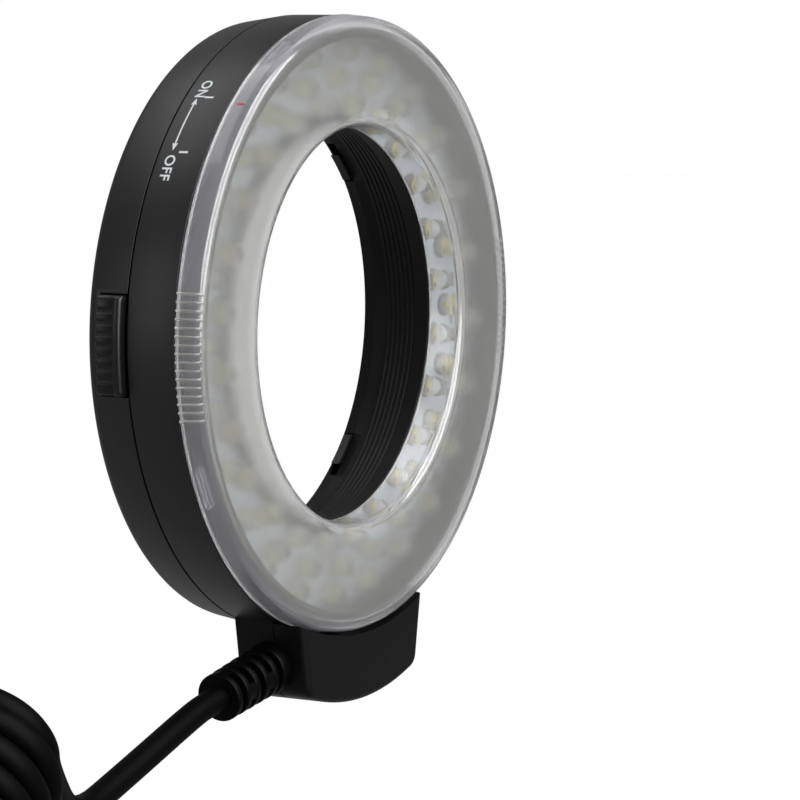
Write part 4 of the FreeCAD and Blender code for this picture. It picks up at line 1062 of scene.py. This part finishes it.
@dataclass(frozen=True)
class BlockShape:
    """Outline of the terminal block, which leans in on both sides and has a round underside.

    Attributes:
        half_width: Half width at the shoulder.
        shoulder: Depth of the shoulder below the axis.
        taper: How much a side leans in for each millimetre down.
        depth: Depth of the underside at its middle.
        arc: Radius of the underside.
        corner: Rounding between a side and the underside.
    """

    half_width: float = 23.6
    shoulder: float = 56.0
    taper: float = 0.1655
    depth: float = 74.2
    arc: float = 60.0
    corner: float = 3.2

    def half_at(self, drop: float) -> float:
        """Give the half width at a depth below the axis."""
        return self.half_width - self.taper * (drop - self.shoulder)

    def foot_at(self, across: float) -> float:
        """Give the depth of the underside at a distance from the middle."""
        return self.depth - self.arc + math.sqrt(self.arc ** 2 - across ** 2)

    def meet(self, reach: Callable[[float], float]) -> float:
        """Find the depth at which a side is met by the line that a function of its half width gives."""
        low, high = 20.0, self.depth
        for _ in range(60):
            middle = (low + high) / 2
            low, high = (middle, high) if reach(self.half_at(middle)) > middle else (low, middle)
        return low

    def outline(self, top_radius: float) -> list[Point]:
        """Give the closed (x, z) outline, whose top is an arc of a radius round the lens axis."""
        top = self.meet(lambda half: math.sqrt(top_radius ** 2 - half ** 2))
        edge = math.asin(self.half_at(top) / top_radius)
        spread = [-edge + 2 * edge * step / 24 for step in range(25)]
        points = [(top_radius * math.sin(angle), -top_radius * math.cos(angle)) for angle in spread]
        low = self.meet(self.foot_at)
        corner = Vector((self.half_at(low), -low))
        side = Vector((-self.taper, -1)).normalized()
        lean = math.asin(corner.x / self.arc)
        across = Vector((-math.cos(lean), -math.sin(lean)))
        half = (-side).angle(across) / 2
        trim = self.corner / math.tan(half)
        centre = corner + (across - side).normalized() * (self.corner / math.sin(half))
        curve = arc(centre, corner - side * trim - centre, corner + across * trim - centre, 8)
        inner = corner.x + across.x * trim
        spots = [inner * (1 - step / 12) for step in range(1, 24)]
        under = [(x, -self.foot_at(x)) for x in spots]
        return points + curve + under + [(-x, z) for x, z in reversed(curve)]


BLOCK = BlockShape()
HOLLOW = BlockShape(half_width=21.8, depth=72.4, arc=58.2, corner=1.6)
BLOCK_SCREWS = ((-13.0, -68.6), (13.0, -68.6))
COVER_SCREWS = tuple((48.5 * math.cos(math.radians(angle)), 48.5 * math.sin(math.radians(angle)))
                     for angle in (70, 110, 250, 290))


@dataclass
class Shells:
    """Rear cover, front shell with the block's rear half, lens bore and the block's front cover.

    Attributes:
        segments: Steps round the lens axis.
        radius: Outside of the ring.
        seam: Place of the seam between cover and shell.
        rear: Place of the rear face.
        block_front: Place of the block's front.
        block_seam: Place of the seam in the block.
        block_top: Radius of the top of the block's cover.
        wall: Thickness of the block's walls.
        recess: Radius of a screw's recess.
        hole: Radius of its hole.
        post: Radius of the posts in the block.
        throat: Radius of the bore's front.
        throat_place: Place of the bore's front.
        mouth: Radius of the bore at the rear face.
        seat: Radius of the adapter's seat.
    """

    segments: int = 320
    radius: float = 60.4
    seam: float = -5.2
    rear: float = 4.7
    block_front: float = -20.7
    block_seam: float = -13.9
    block_top: float = 60.95
    wall: float = 1.8
    recess: float = 2.15
    hole: float = 1.25
    post: float = 2.2
    throat: float = 38.9
    throat_place: float = -13.5
    mouth: float = 44.3
    seat: float = 42.9

    def build(self, shop: Workshop) -> None:
        """Make the four mouldings."""
        self._rear_cover(shop)
        self._front_shell(shop)
        self._lens_bore(shop)
        self._block_cover(shop)

    def _screw_holes(self, places: Sequence[Point], seat: float, face: float) -> list[Mesh]:
        """Make the recesses and the holes of screws put in from the rear."""
        tools = []
        for x, z in places:
            tools.append(rod_mesh((x, seat, z), (x, face + 1, z), self.recess, 32))
            tools.append(rod_mesh((x, seat - 3.0, z), (x, seat + 0.5, z), self.hole, 24))
        return tools

    def _hollowed(self, block: Thing, top: float, front: float, rear: float, posts: Point,
                  shop: Workshop) -> Thing:
        """Hollow out one half of the block and stand the posts for its two screws in it.

        Args:
            block: The half, which is replaced.
            top: Radius of the top of the hollow.
            front: Place where the hollow starts.
            rear: Place where it ends.
            posts: Places where the posts start and end.
            shop: The workshop.

        Returns:
            The half with its posts.
        """
        cut(block, extruded(HOLLOW.outline(top), front, rear))
        rods = [rod_mesh((x, posts[0], z), (x, posts[1], z), self.post, 32) for x, z in BLOCK_SCREWS]
        stood = new_object("posts", merge(*rods), [shop["block_black"]])
        return joined(f"{block.name}_posts", (block, stood))

    def _rear_cover(self, shop: Workshop) -> None:
        """Rear cover with its button windows and screw recesses."""
        outline = rounded_outline(((self.radius, self.seam, 0.06), (59.0, self.rear, 2.6),
                                   (46.05, self.rear, 0.3), (46.05, 3.2, 0.1), (57.2, 3.2, 0.5),
                                   (58.6, self.seam, 0.1)), 7)
        made = new_object("rear_cover_shell", lathe(outline, self.segments), [shop["shell_black"]])
        windows = [box_mesh((low, self.seam - 1, -9.6), (low + 20, 1.4, 9.6)) for low in (-70, 50)]
        cut(made, *windows, *self._screw_holes(COVER_SCREWS, 3.8, self.rear))
        soften(made, 0.1, 50)
        place_piece(made, Body.HEAD, "shell_plastic", "rear_cover")

    def _front_shell(self, shop: Workshop) -> None:
        """Front shell: wall with a shadow gap at the seam, floor, spigot and the block's rear half."""
        outline = rounded_outline(((59.3, self.seam, 0), (59.3, -5.6, 0), (self.radius, -5.6, 0.06),
                                   (self.radius, -15.8, 0.2), (57.0, -15.8, 0.1), (57.0, -19.25, 0.2),
                                   (56.0, -19.25, 0.2), (56.0, -10.7, 0), (54.8, -10.7, 0.1),
                                   (54.8, -8.7, 0.1), (42.52, -8.7, 0.1), (42.52, -7.2, 0.1),
                                   (58.6, -7.2, 0.3), (58.6, self.seam, 0.1)), 4)
        ring = new_object("shell_ring", lathe(outline, self.segments), [shop["shell_black"]])
        body = extruded(BLOCK.outline(self.radius - 0.6), self.block_seam, self.seam)
        block = new_object("shell_block", bevelled(body, self.seam, 0.5, 3), [shop["block_black"]])
        seat = self.seam - 0.9
        block = self._hollowed(block, self.radius + self.wall, self.block_seam - 1, self.seam - self.wall,
                               (self.block_seam, seat), shop)
        cut(block, *self._screw_holes(BLOCK_SCREWS, seat, self.seam))
        place_piece(joined("front_shell_body", (ring, block)), Body.HEAD, "shell_plastic", "front_shell")

    def _lens_bore(self, shop: Workshop) -> None:
        """Lens bore: conical, with the adapter seat, six grooves and the notches for the claws."""
        slope = (self.mouth - self.throat) / (self.rear - self.throat_place)

        def cone(place: float) -> float:
            """Give the radius of the cone at a place."""
            return self.throat + (place - self.throat_place) * slope

        outline: list[Point] = [(self.mouth, self.rear), (cone(1.5), 1.5), (self.seat, 1.5),
                                (self.seat, -1.5), (cone(-1.5), -1.5)]
        for index in range(6):
            for offset, depth in ((0.3, 0.0), (0.0, 0.26), (-0.3, 0.0)):
                place = -2.6 - 1.35 * index + offset
                outline.append((cone(place) + depth, place))
        outline += [(self.throat, -13.4), (39.0, self.throat_place), (40.5, self.throat_place), (45.9, 4.6),
                    (45.8, self.rear)]
        made = new_object("lens_bore_tube", lathe(outline, self.segments), [shop["bore_black"]], crease=24)
        cut(made, *(box_mesh((low, 1.3, base), (low + 40, 4.0, base + 8.0))
                    for low in (-60, 20) for base in (26.2, -34.2)))
        place_piece(made, Body.HEAD, "bore_plastic", "lens_bore")

    def _block_cover(self, shop: Workshop) -> None:
        """Front cover of the terminal block, hollow, with its front edge rounded."""
        rear = self.block_seam - 0.12
        body = extruded(BLOCK.outline(self.block_top), self.block_front, rear)
        body = bevelled(bevelled(body, self.block_front, 1.2, 7, 61.0), rear, 0.2, 2)
        made = new_object("block_front_cover", body, [shop["block_black"]])
        made = self._hollowed(made, self.block_top + self.wall, self.block_front + self.wall,
                              self.block_seam + 1, (self.block_front + 0.9, self.block_seam), shop)
        place_piece(made, Body.HEAD, "shell_plastic", "block_cover")


@dataclass
class Diffuser:
    """Diffuser: gripped satin rim, frosted face, clear inner collar and bayonet lugs.

    Attributes:
        steps: Even steps round the lens axis.
        ribs: Ribs in each grip.
        rib_pitch: Angle between two ribs.
        rib_middle: Angle of the left grip's middle; the other is opposite.
        rib_half: Half the width of a rib, in degrees.
        rib_stand: How far a rib stands out.
        outside: Radius past which a point is on the rim's outside.
        rim_rear: Place in front of which the rim's outside starts.
    """

    steps: int = 600
    ribs: int = 16
    rib_pitch: float = 1.49
    rib_middle: float = 181.5
    rib_half: float = 0.27
    rib_stand: float = 0.4
    outside: float = 59.3
    rim_rear: float = -16.0

    def rib_shape(self, degrees: float) -> float:
        """Give how far the grip stands out at an angle, from 0 to 1."""
        for middle in (self.rib_middle, self.rib_middle - 180):
            away = (degrees - middle + 180) % 360 - 180
            number = round(away / self.rib_pitch - 0.5) + 0.5
            if abs(number) > self.ribs / 2:
                continue
            offset = abs(away - number * self.rib_pitch)
            if offset < self.rib_half:
                return math.sqrt(1 - (offset / self.rib_half) ** 2)
        return 0.0

    def stand(self, radius: float, place: float, degrees: float) -> float:
        """Give how far a point of the rim's outside stands out, fading over the front rounding."""
        if radius < self.outside or place > self.rim_rear:
            return 0.0
        return self.rib_stand * self.rib_shape(degrees) * min(1.0, max(0.0, (place + 20.9) / 0.5))

    def angles(self) -> list[float]:
        """Give the angles of the turning, closer together along the grips."""
        found = {round(360 * step / self.steps, 4) for step in range(self.steps)}
        for middle in (self.rib_middle, self.rib_middle - 180):
            for rib in range(self.ribs):
                centre = middle + (rib - (self.ribs - 1) / 2) * self.rib_pitch
                for share in (-1.0, -0.92, -0.7, -0.38, 0.0, 0.38, 0.7, 0.92, 1.0):
                    found.add(round((centre + share * self.rib_half) % 360, 4))
        kept: list[float] = []
        for angle in sorted(found):
            if (not kept or angle - kept[-1] > 0.02) and angle < 359.98:
                kept.append(angle)
        return kept

    def slot_at(self, radius: float, place: float, degrees: float) -> int:
        """Give a face's slot: 0 for the satin rim, 1 for face and collar, 2 for the painted highlight on
        rear edge and ribs.
        """
        on_rear_edge = radius > 60.0 and place > -16.4
        on_outside = radius > self.outside and place < self.rim_rear
        if on_rear_edge or on_outside and self.rib_shape(degrees) > 0.45:
            return 2
        on_rim = radius > 58.9 or radius > 58.2 and place > -19.6
        return 0 if on_rim else 1

    def build(self, shop: Workshop) -> None:
        """Make the moulding as one piece."""
        outline = rounded_outline(((60.5, -16.1, 0.15), (60.48, -16.35, 0), (60.0, -21.3, 2.2),
                                   (38.8, -21.3, 2.4), (38.8, -13.8, 0.15), (40.1, -13.8, 0.15),
                                   (40.1, -19.7, 0.6), (58.4, -19.7, 1.0), (58.9, -16.1, 0.15)), 9)
        lug = rounded_outline(((57.3, -17.75, 0.2), (57.3, -16.55, 0.2), (59.3, -16.55, 0),
                               (59.3, -17.75, 0)), 3)
        ring = lathe(outline, self.angles(), self.slot_at, self.stand)
        for first in (-157.5, -67.5, 22.5, 112.5):
            ring = merge(ring, lathe(lug, [first + 8.0 * step / 12 for step in range(13)], closed=False))
        # The edge slot paints a highlight on the rear edge and the ribs with a paler, milkier plastic.
        slots = [shop[f"diffuser_{name}"] for name in ("satin", "frosted", "edge")]
        made = new_object("diffuser_ring", ring, slots, crease=40)
        place_piece(made, Body.DIFFUSER, "diffuser_plastic", "diffuser")


@dataclass
class LampBoard:
    """Lamp board with three rings of lamps, and the resistors behind it.

    Attributes:
        rows: Name, radius and first angle of each ring.
        lamps: Lamps in a ring.
        front: Place of the board's front.
        rear: Place of its rear.
        dome: Radius of a lamp's dome.
        shoulder: Height at which the dome starts to round.
        resistors: Resistors behind the board.
        inside: Radius at which a resistor starts.
        outside: Radius at which it ends.
    """

    rows: tuple[tuple[str, float, float], ...] = (("inner", 43.2, 8.0), ("middle", 48.25, 0.5),
                                                  ("outer", 53.3, 12.0))
    lamps: int = 24
    front: float = -12.3
    rear: float = -10.7
    dome: float = 2.1
    shoulder: float = 2.6
    resistors: int = 12
    inside: float = 46.0
    outside: float = 47.6

    def build(self, shop: Workshop) -> None:
        """Make the lamps of each row and the resistors; the board itself is the frame's."""
        shop.dress("lamp_board", "board_white")
        shop.dress("board_connector", "connector_white")
        for name, radius, first in self.rows:
            self._row(name, radius, first, shop)
        self._resistors(shop)

    def _turned(self, radius: float, outline: Sequence[Point], sides: int) -> Mesh:
        """Turn a (radius, height above the board) outline round a lamp's own axis."""
        mesh = lathe([(across, -height) for across, height in outline], sides)
        return moved(mesh, Matrix.Translation((radius, self.front, 0)))

    def _row(self, name: str, radius: float, first: float, shop: Workshop) -> None:
        """Make one row of lamps: a clear dome over a white cup with a spot of phosphor."""
        dome = [(0.0, 0.02), (2.4, 0.02), (2.4, 0.6), (self.dome, 0.75), (self.dome, self.shoulder)]
        for angle in range(12, 90, 13):
            turn = math.radians(angle)
            dome.append((self.dome * math.cos(turn), self.shoulder + 2.0 * math.sin(turn)))
        dome.append((0.0, self.shoulder + 2.0))
        cup = [(0.0, 0.2), (1.75, 0.2), (1.75, 1.5), (1.6, 1.55), (1.05, 0.95), (0.0, 0.95)]
        spot = [(0.0, 0.9), (1.2, 0.9), (1.1, 1.2), (0.0, 1.3)]
        wire = box_mesh((radius - 0.1, self.front - 1.5, -0.95), (radius + 0.1, self.front - 1.3, -0.25))
        layers = (("dome", self._turned(radius, dome, 28), "lamp_clear"),
                  ("cup", self._turned(radius, cup, 24), "lamp_cup"),
                  ("spot", self._turned(radius, spot, 16), "lamp_phosphor"), ("wire", wire, "chip_black"))
        parts = [shop.repeats.round_axis(f"{name}_{label}", mesh, self.lamps, first, shop[finish])
                 for label, mesh, finish in layers]
        place_piece(joined(f"{name}_lamps", parts), Body.HEAD, "lamp_lens", f"lamps_{name}_row")

    def _resistors(self, shop: Workshop) -> None:
        """Make the resistors behind the board: a dark body between two soldered ends."""
        low, high = self.inside, self.outside
        body = box_mesh((low + 0.05, self.rear, -1.15), (high - 0.05, self.rear + 0.65, 1.15))
        ends = merge(box_mesh((low, self.rear, 1.1), (high, self.rear + 0.7, 1.6)),
                     box_mesh((low, self.rear, -1.6), (high, self.rear + 0.7, -1.1)))
        layers = (("resistor_body", body, "chip_black"), ("resistor_end", ends, "solder"))
        parts = [shop.repeats.round_axis(label, mesh, self.resistors, -75.0, shop[finish])
                 for label, mesh, finish in layers]
        place_piece(joined("resistors", parts), Body.HEAD, "component_black", "board_resistors")


@dataclass
class Screws:
    """Pan-head screws with cross recesses, all put in from the rear.

    Attributes:
        head: Radius of the head.
        height: Height of the head.
        shank: Radius over the thread.
        pitch: Spacing of the thread.
        cross: Half the length and half the width of the recess.
    """

    head: float = 2.0
    height: float = 0.8
    shank: float = 1.1
    pitch: float = 0.55
    cross: Point = (1.05, 0.2)

    def _screw(self, length: float) -> Mesh:
        """Make one screw whose head sits on the origin and whose shank points forwards."""
        outline = [(0.0, -length), (self.shank * 0.6, -length), (self.shank, -length + 0.8)]
        for turn in range(int((length - 1.6) / self.pitch)):
            place = -length + 0.8 + self.pitch * turn
            outline += [(self.shank - 0.18, place + 0.2), (self.shank, place + 0.5)]
        outline += [(self.shank - 0.15, 0.0), (self.head, 0.0), (self.head, self.height * 0.4),
                    (self.head * 0.85, self.height * 0.8), (self.head * 0.5, self.height),
                    (0.0, self.height)]
        made = new_object("screw", lathe(outline, 28), [])
        low, high = self.height * 0.35, self.height + 1
        cut(made, *(box_mesh((-x, low, -z), (x, high, z)) for x, z in (self.cross, self.cross[::-1])))
        mesh = bmesh.new()
        mesh.from_mesh(made.data)
        bmesh.ops.scale(mesh, vec=(1 / MM, 1 / MM, 1 / MM), verts=mesh.verts)
        discard(made)
        return mesh

    def build(self, shop: Workshop) -> None:
        """Make the four screws of the rear cover and the two of the block."""
        for name, length, seat, spots, seed in (("cover_screws", 7.5, 3.8, COVER_SCREWS, 3),
                                                ("block_screws", 11.0, -6.1, BLOCK_SCREWS, 8)):
            places = [(x, seat, z) for x, z in spots]
            screw = self._screw(length)
            made = shop.repeats.at_points(f"{name}_cross", screw, places, seed, shop["screw_black"])
            smooth(made.data)
            place_piece(made, Body.HEAD, "screw_steel", name)


@dataclass
class Latch:
    """Button, slider and spring of one side.

    Attributes:
        side: Side of the ring.
        half_width: Half the button's height.
        front: Place of its front.
        rear: Place of its rear.
        shell: Radius of its inside.
        rim_rear: Place where its smooth rim ends and the ribs start.
        rim_radius: Radius of the rim.
        top_radius: Radius of the ribs.
        groove_pitch: Spacing of the grooves.
        groove_half: Half the width of a groove.
        groove_depth: Depth of a groove.
        rounding: Rounding of both ends.
        axis: Place of the peg and the spring.
        wire: Radius of the spring's wire.
    """

    side: Side
    half_width: float = 9.3
    front: float = -4.9
    rear: float = 1.1
    shell: float = 56.1
    rim_rear: float = -3.2
    rim_radius: float = 62.2
    top_radius: float = 61.5
    groove_pitch: float = 2.15
    groove_half: float = 0.62
    groove_depth: float = 0.34
    rounding: float = 0.9
    axis: float = -2.8
    wire: float = 0.25

    def _section(self, height: float) -> list[Place]:
        """Give the button's closed section at a height."""
        sign = self.side.value
        number = round(height / self.groove_pitch)
        offset = abs(height - number * self.groove_pitch)
        grooved = abs(number) <= 3 and offset < self.groove_half
        depth = self.groove_depth * (1 - (offset / self.groove_half) ** 2) if grooved else 0.0
        edge = max(0.0, abs(height) - (self.half_width - self.rounding))
        drop = self.rounding - math.sqrt(max(self.rounding ** 2 - edge ** 2, 0.0))
        rim, top = self.rim_radius, self.top_radius
        front, rear, step = self.front, self.rear, self.rim_rear
        outside = [(rim - 0.7, front, 0.0), (rim - 0.5, front + 0.06, 0.0),
                   (rim - 0.15, front + 0.22, 0.0), (rim, front + 0.6, 0.0), (rim, step - 0.4, 0.0),
                   (rim - 0.12, step - 0.12, 0.0), (top, step, 0.2), (top, step + 0.25, depth),
                   *((top, rear - 0.9 + 0.15 * count, depth) for count in range(4)),
                   (top - 0.12, rear - 0.25, depth), (top - 0.4, rear - 0.06, depth),
                   (top - 0.8, rear, 0.0)]
        points = [(sign * (math.sqrt(radius ** 2 - height ** 2) - drop - groove), place, height)
                  for radius, place, groove in outside]
        inside = sign * math.sqrt(self.shell ** 2 - height ** 2)
        return [(inside, front, height), *points, (inside, rear, height)]

    def build(self, shop: Workshop) -> None:
        """Make the button and the spring, and dress the slider."""
        name, sign = self.side.name.lower(), self.side.value
        body = Body[f"LATCH_{self.side.name}"]
        ends = [-self.half_width + inset for inset in (0.0, 0.06, 0.2, 0.45)]
        heights = ends + [-8.4 + 0.14 * step for step in range(121)] + [-end for end in reversed(ends)]
        cap = loft([self._section(height) for height in heights])
        flange = rounded_outline(((56.0, self.front, 0.1), (56.0, self.rear, 0.1), (57.3, self.rear, 0.3),
                                  (57.3, self.front, 0.3)), 3)
        middle = 180.0 if sign < 0 else 0.0
        spread = math.degrees(math.asin(10.7 / 57.3))
        band = lathe(flange, [middle + spread * (step / 12 - 1) for step in range(25)], closed=False)
        peg = rod_mesh((sign * 56.3, self.axis, 0), (sign * 53.4, self.axis, 0), 0.9, 24)
        button = merge(cap, band, peg)
        made = new_object(f"latch_button_{name}_ribbed", button, [shop["button_black"]], crease=50)
        place_piece(made, body, "shell_plastic", f"latch_button_{name}")
        shop.dress(f"latch_slider_{name}", "slider_black")
        repeats = shop.repeats
        spring = repeats.grow(repeats.spring_tree, f"latch_spring_{name}_wound", Turns=6.5,
                              Radius=(1.7 - self.wire) * MM, Length=(6.9 - 2 * self.wire) * MM,
                              Wire=self.wire * MM, Material=shop["spring_steel"])
        start = Vector((sign * (56.0 - 0.15 - self.wire), self.axis, 0)) * MM
        spring.data.transform(Matrix.Translation(start) @ Matrix.Rotation(-QUARTER * sign, 4, "Y"))
        spring.data.shade_smooth()
        place_piece(spring, body, "spring_steel", f"latch_spring_{name}")


@dataclass
class StrainRelief:
    """Strain relief: rings on a core, held by pairs of webs that turn by a quarter from row to row.

    Attributes:
        base: Where its axis starts.
        axis: Direction of its axis.
        length: Sleeve.
        radius: Radius at its base.
        tip: Radius at its tip.
        core: Radius of the core.
        rows: Rows of slots.
        slot: Width of a slot.
        pitch: Spacing of the slots.
    """

    base: Place = (-22.14, -12.6, -64.8)
    axis: Place = (-0.98658, 0.0, -0.16328)
    length: float = 19.0
    radius: float = 5.0
    tip: float = 4.7
    core: float = 2.9
    rows: int = 5
    slot: float = 1.5
    pitch: float = 3.2

    @staticmethod
    def _disc(start: float, end: float, radius: float, first: float = 0, last: float = 0) -> Mesh:
        """Make a disc along local X, whose first and last edges are rounded."""
        corners = ((0.0, start, 0), (radius, start, first), (radius, end, last), (0.0, end, 0))
        return moved(lathe(rounded_outline(corners, 4), 56), Matrix.Rotation(-QUARTER, 4, "Z"))

    def build(self, shop: Workshop) -> None:
        """Make the sleeve and lay it along the relief's own axis."""
        rubber = shop["relief_rubber"]
        last = self.tip / self.radius
        ring = self._disc(0.0, self.pitch - self.slot - 0.1, self.radius, 0.42, 0.42)
        rings = shop.repeats.along_line("relief_rings", ring, self.rows, self.pitch + self.slot, self.pitch,
                                        (0.985, last), 0.0, rubber)
        low, high = self.core - 0.3, self.radius - 0.12
        outline = ((low, -0.2), (high, -0.2), (high, self.slot + 0.2), (low, self.slot + 0.2))
        sectors = [lathe(outline, [centre - 20 + 5 * step for step in range(9)], closed=False)
                   for centre in (90.0, 270.0)]
        web = moved(merge(*sectors), Matrix.Rotation(-QUARTER, 4, "Z"))
        webs = shop.repeats.along_line("relief_webs", web, self.rows, self.pitch, self.pitch, (0.99, last),
                                       90.0, rubber)
        solid = merge(self._disc(0.0, self.pitch, self.radius, 0.3, 0.45),
                      self._disc(0.5, self.length - 0.3, self.core), self._disc(-2.2, 0.5, 3.2),
                      self._disc(-3.55, -1.95, 3.7, 0.2, 0.2))
        core = new_object("relief_core", solid, [rubber])
        made = joined("strain_relief_ringed", (rings, webs, core), 45)
        along, front = Vector(self.axis), Vector((0, -1, 0))
        turn = Matrix((along, front, along.cross(front))).transposed().to_4x4()
        made.data.transform(Matrix.Translation(Vector(self.base) * MM) @ turn)
        place_piece(made, Body.HEAD, "cord_rubber", "strain_relief")


@dataclass
class Markings:
    """Printed marks: the ON to OFF scale on the front shell and the red index on the diffuser.

    Attributes:
        radius: Radius of the shell's print.
        index_radius: Radius of the index.
        letter: Height of the letters.
        thick: Half the thickness of the print.
        first: Angle of the arrow's first end.
        last: Angle of its last end.
        line: Place of the arrow.
    """

    radius: float = 60.43
    index_radius: float = 60.35
    letter: float = 2.2
    thick: float = 0.02
    first: float = 132.3
    last: float = 143.7
    line: float = -8.3

    @staticmethod
    def _wrapped(mesh: Mesh, angle: float, place: float, radius: float) -> Mesh:
        """Wrap a flat (x, y) mesh round the lens axis: x runs down the left side, and y to the front."""
        for vert in mesh.verts:
            turned = math.radians(angle) + vert.co.x / radius
            reach = radius + vert.co.z
            vert.co = Vector((reach * math.cos(turned), place - vert.co.y, reach * math.sin(turned)))
        bmesh.ops.recalc_face_normals(mesh, faces=mesh.faces)
        return mesh

    def _word(self, text: str, angle: float, place: float) -> Mesh:
        """Make a word whose middle is at an angle and a place along the axis."""
        data = bpy.data.curves.new("word", "FONT")
        data.body = text
        data.size = self.letter * 1.38
        data.align_x = "CENTER"
        data.align_y = "CENTER"
        data.space_character = 1.06
        data.extrude = self.thick
        data.offset = 0.045
        data.resolution_u = 4
        holder = bpy.data.objects.new("word", data)
        bpy.context.scene.collection.objects.link(holder)
        flat = evaluated(holder)
        mesh = bmesh.new()
        mesh.from_mesh(flat)
        bpy.data.objects.remove(holder)
        bpy.data.curves.remove(data)
        bpy.data.meshes.remove(flat)
        return self._wrapped(mesh, angle, place, self.radius)

    def _bar(self, low: Point, high: Point, angle: float, place: float, radius: float,
             steps: int = 1) -> Mesh:
        """Make a bar between two flat corners, in steps so that it follows the shell."""
        sections = []
        for step in range(steps + 1):
            x = low[0] + (high[0] - low[0]) * step / steps
            sections.append([(x, low[1], -self.thick), (x, high[1], -self.thick), (x, high[1], self.thick),
                             (x, low[1], self.thick)])
        return self._wrapped(loft(sections), angle, place, radius)

    def _head(self, way: int, angle: float) -> Mesh:
        """Make an arrow head that points along the shell."""
        corners = ((0.3 * way, 0.0), (-1.4 * way, 0.6), (-1.1 * way, 0.0), (-1.4 * way, -0.6))
        sections = [[(x, y, lift) for x, y in corners] for lift in (-self.thick, self.thick)]
        return self._wrapped(loft(sections), angle, self.line, self.radius)

    def build(self, shop: Workshop) -> None:
        """Make the scale and the index."""
        arrow = math.radians(self.last - self.first) * self.radius
        words = (self._word("ON", 129.5, -8.5), self._word("OFF", 147.5, -8.4))
        ticks = (self._bar((-0.22, -0.95), (0.22, 0.95), angle, -10.8, self.radius)
                 for angle in (131.7, 144.3))
        shaft = self._bar((0.8, -0.15), (arrow - 0.8, 0.15), self.first, self.line, self.radius, 12)
        scale = merge(*words, *ticks, shaft, self._head(-1, self.first), self._head(1, self.last))
        scale_print = new_object("scale_print", scale, [shop["print_white"]])
        place_piece(scale_print, Body.HEAD, "shell_plastic")
        index = self._bar((-0.2, -1.0), (0.2, 1.0), 133.1, -18.3, self.index_radius)
        index_print = new_object("index_print", index, [shop["print_red"]])
        place_piece(index_print, Body.DIFFUSER, "diffuser_plastic")


def main() -> None:
    """Build the studio and every piece of the object."""
    logging.basicConfig(level=logging.INFO, format="%(name)s: %(message)s")
    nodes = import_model()["nodes"]
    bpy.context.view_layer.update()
    shop = Workshop(nodes)
    Studio().build()
    for assembly in (CordLine(), Shells(), Diffuser(), LampBoard(), Screws(), StrainRelief(), Markings(),
                     Latch(Side.LEFT), Latch(Side.RIGHT)):
        assembly.build(shop)
    for node, finish in (("terminal_board", "board_green"), ("lamp_wires", "wire_red"),
                         ("cord_conductors", "wire_grey")):
        shop.dress(node, finish)
    bpy.context.view_layer.update()


if __name__ == "__main__":
    main()
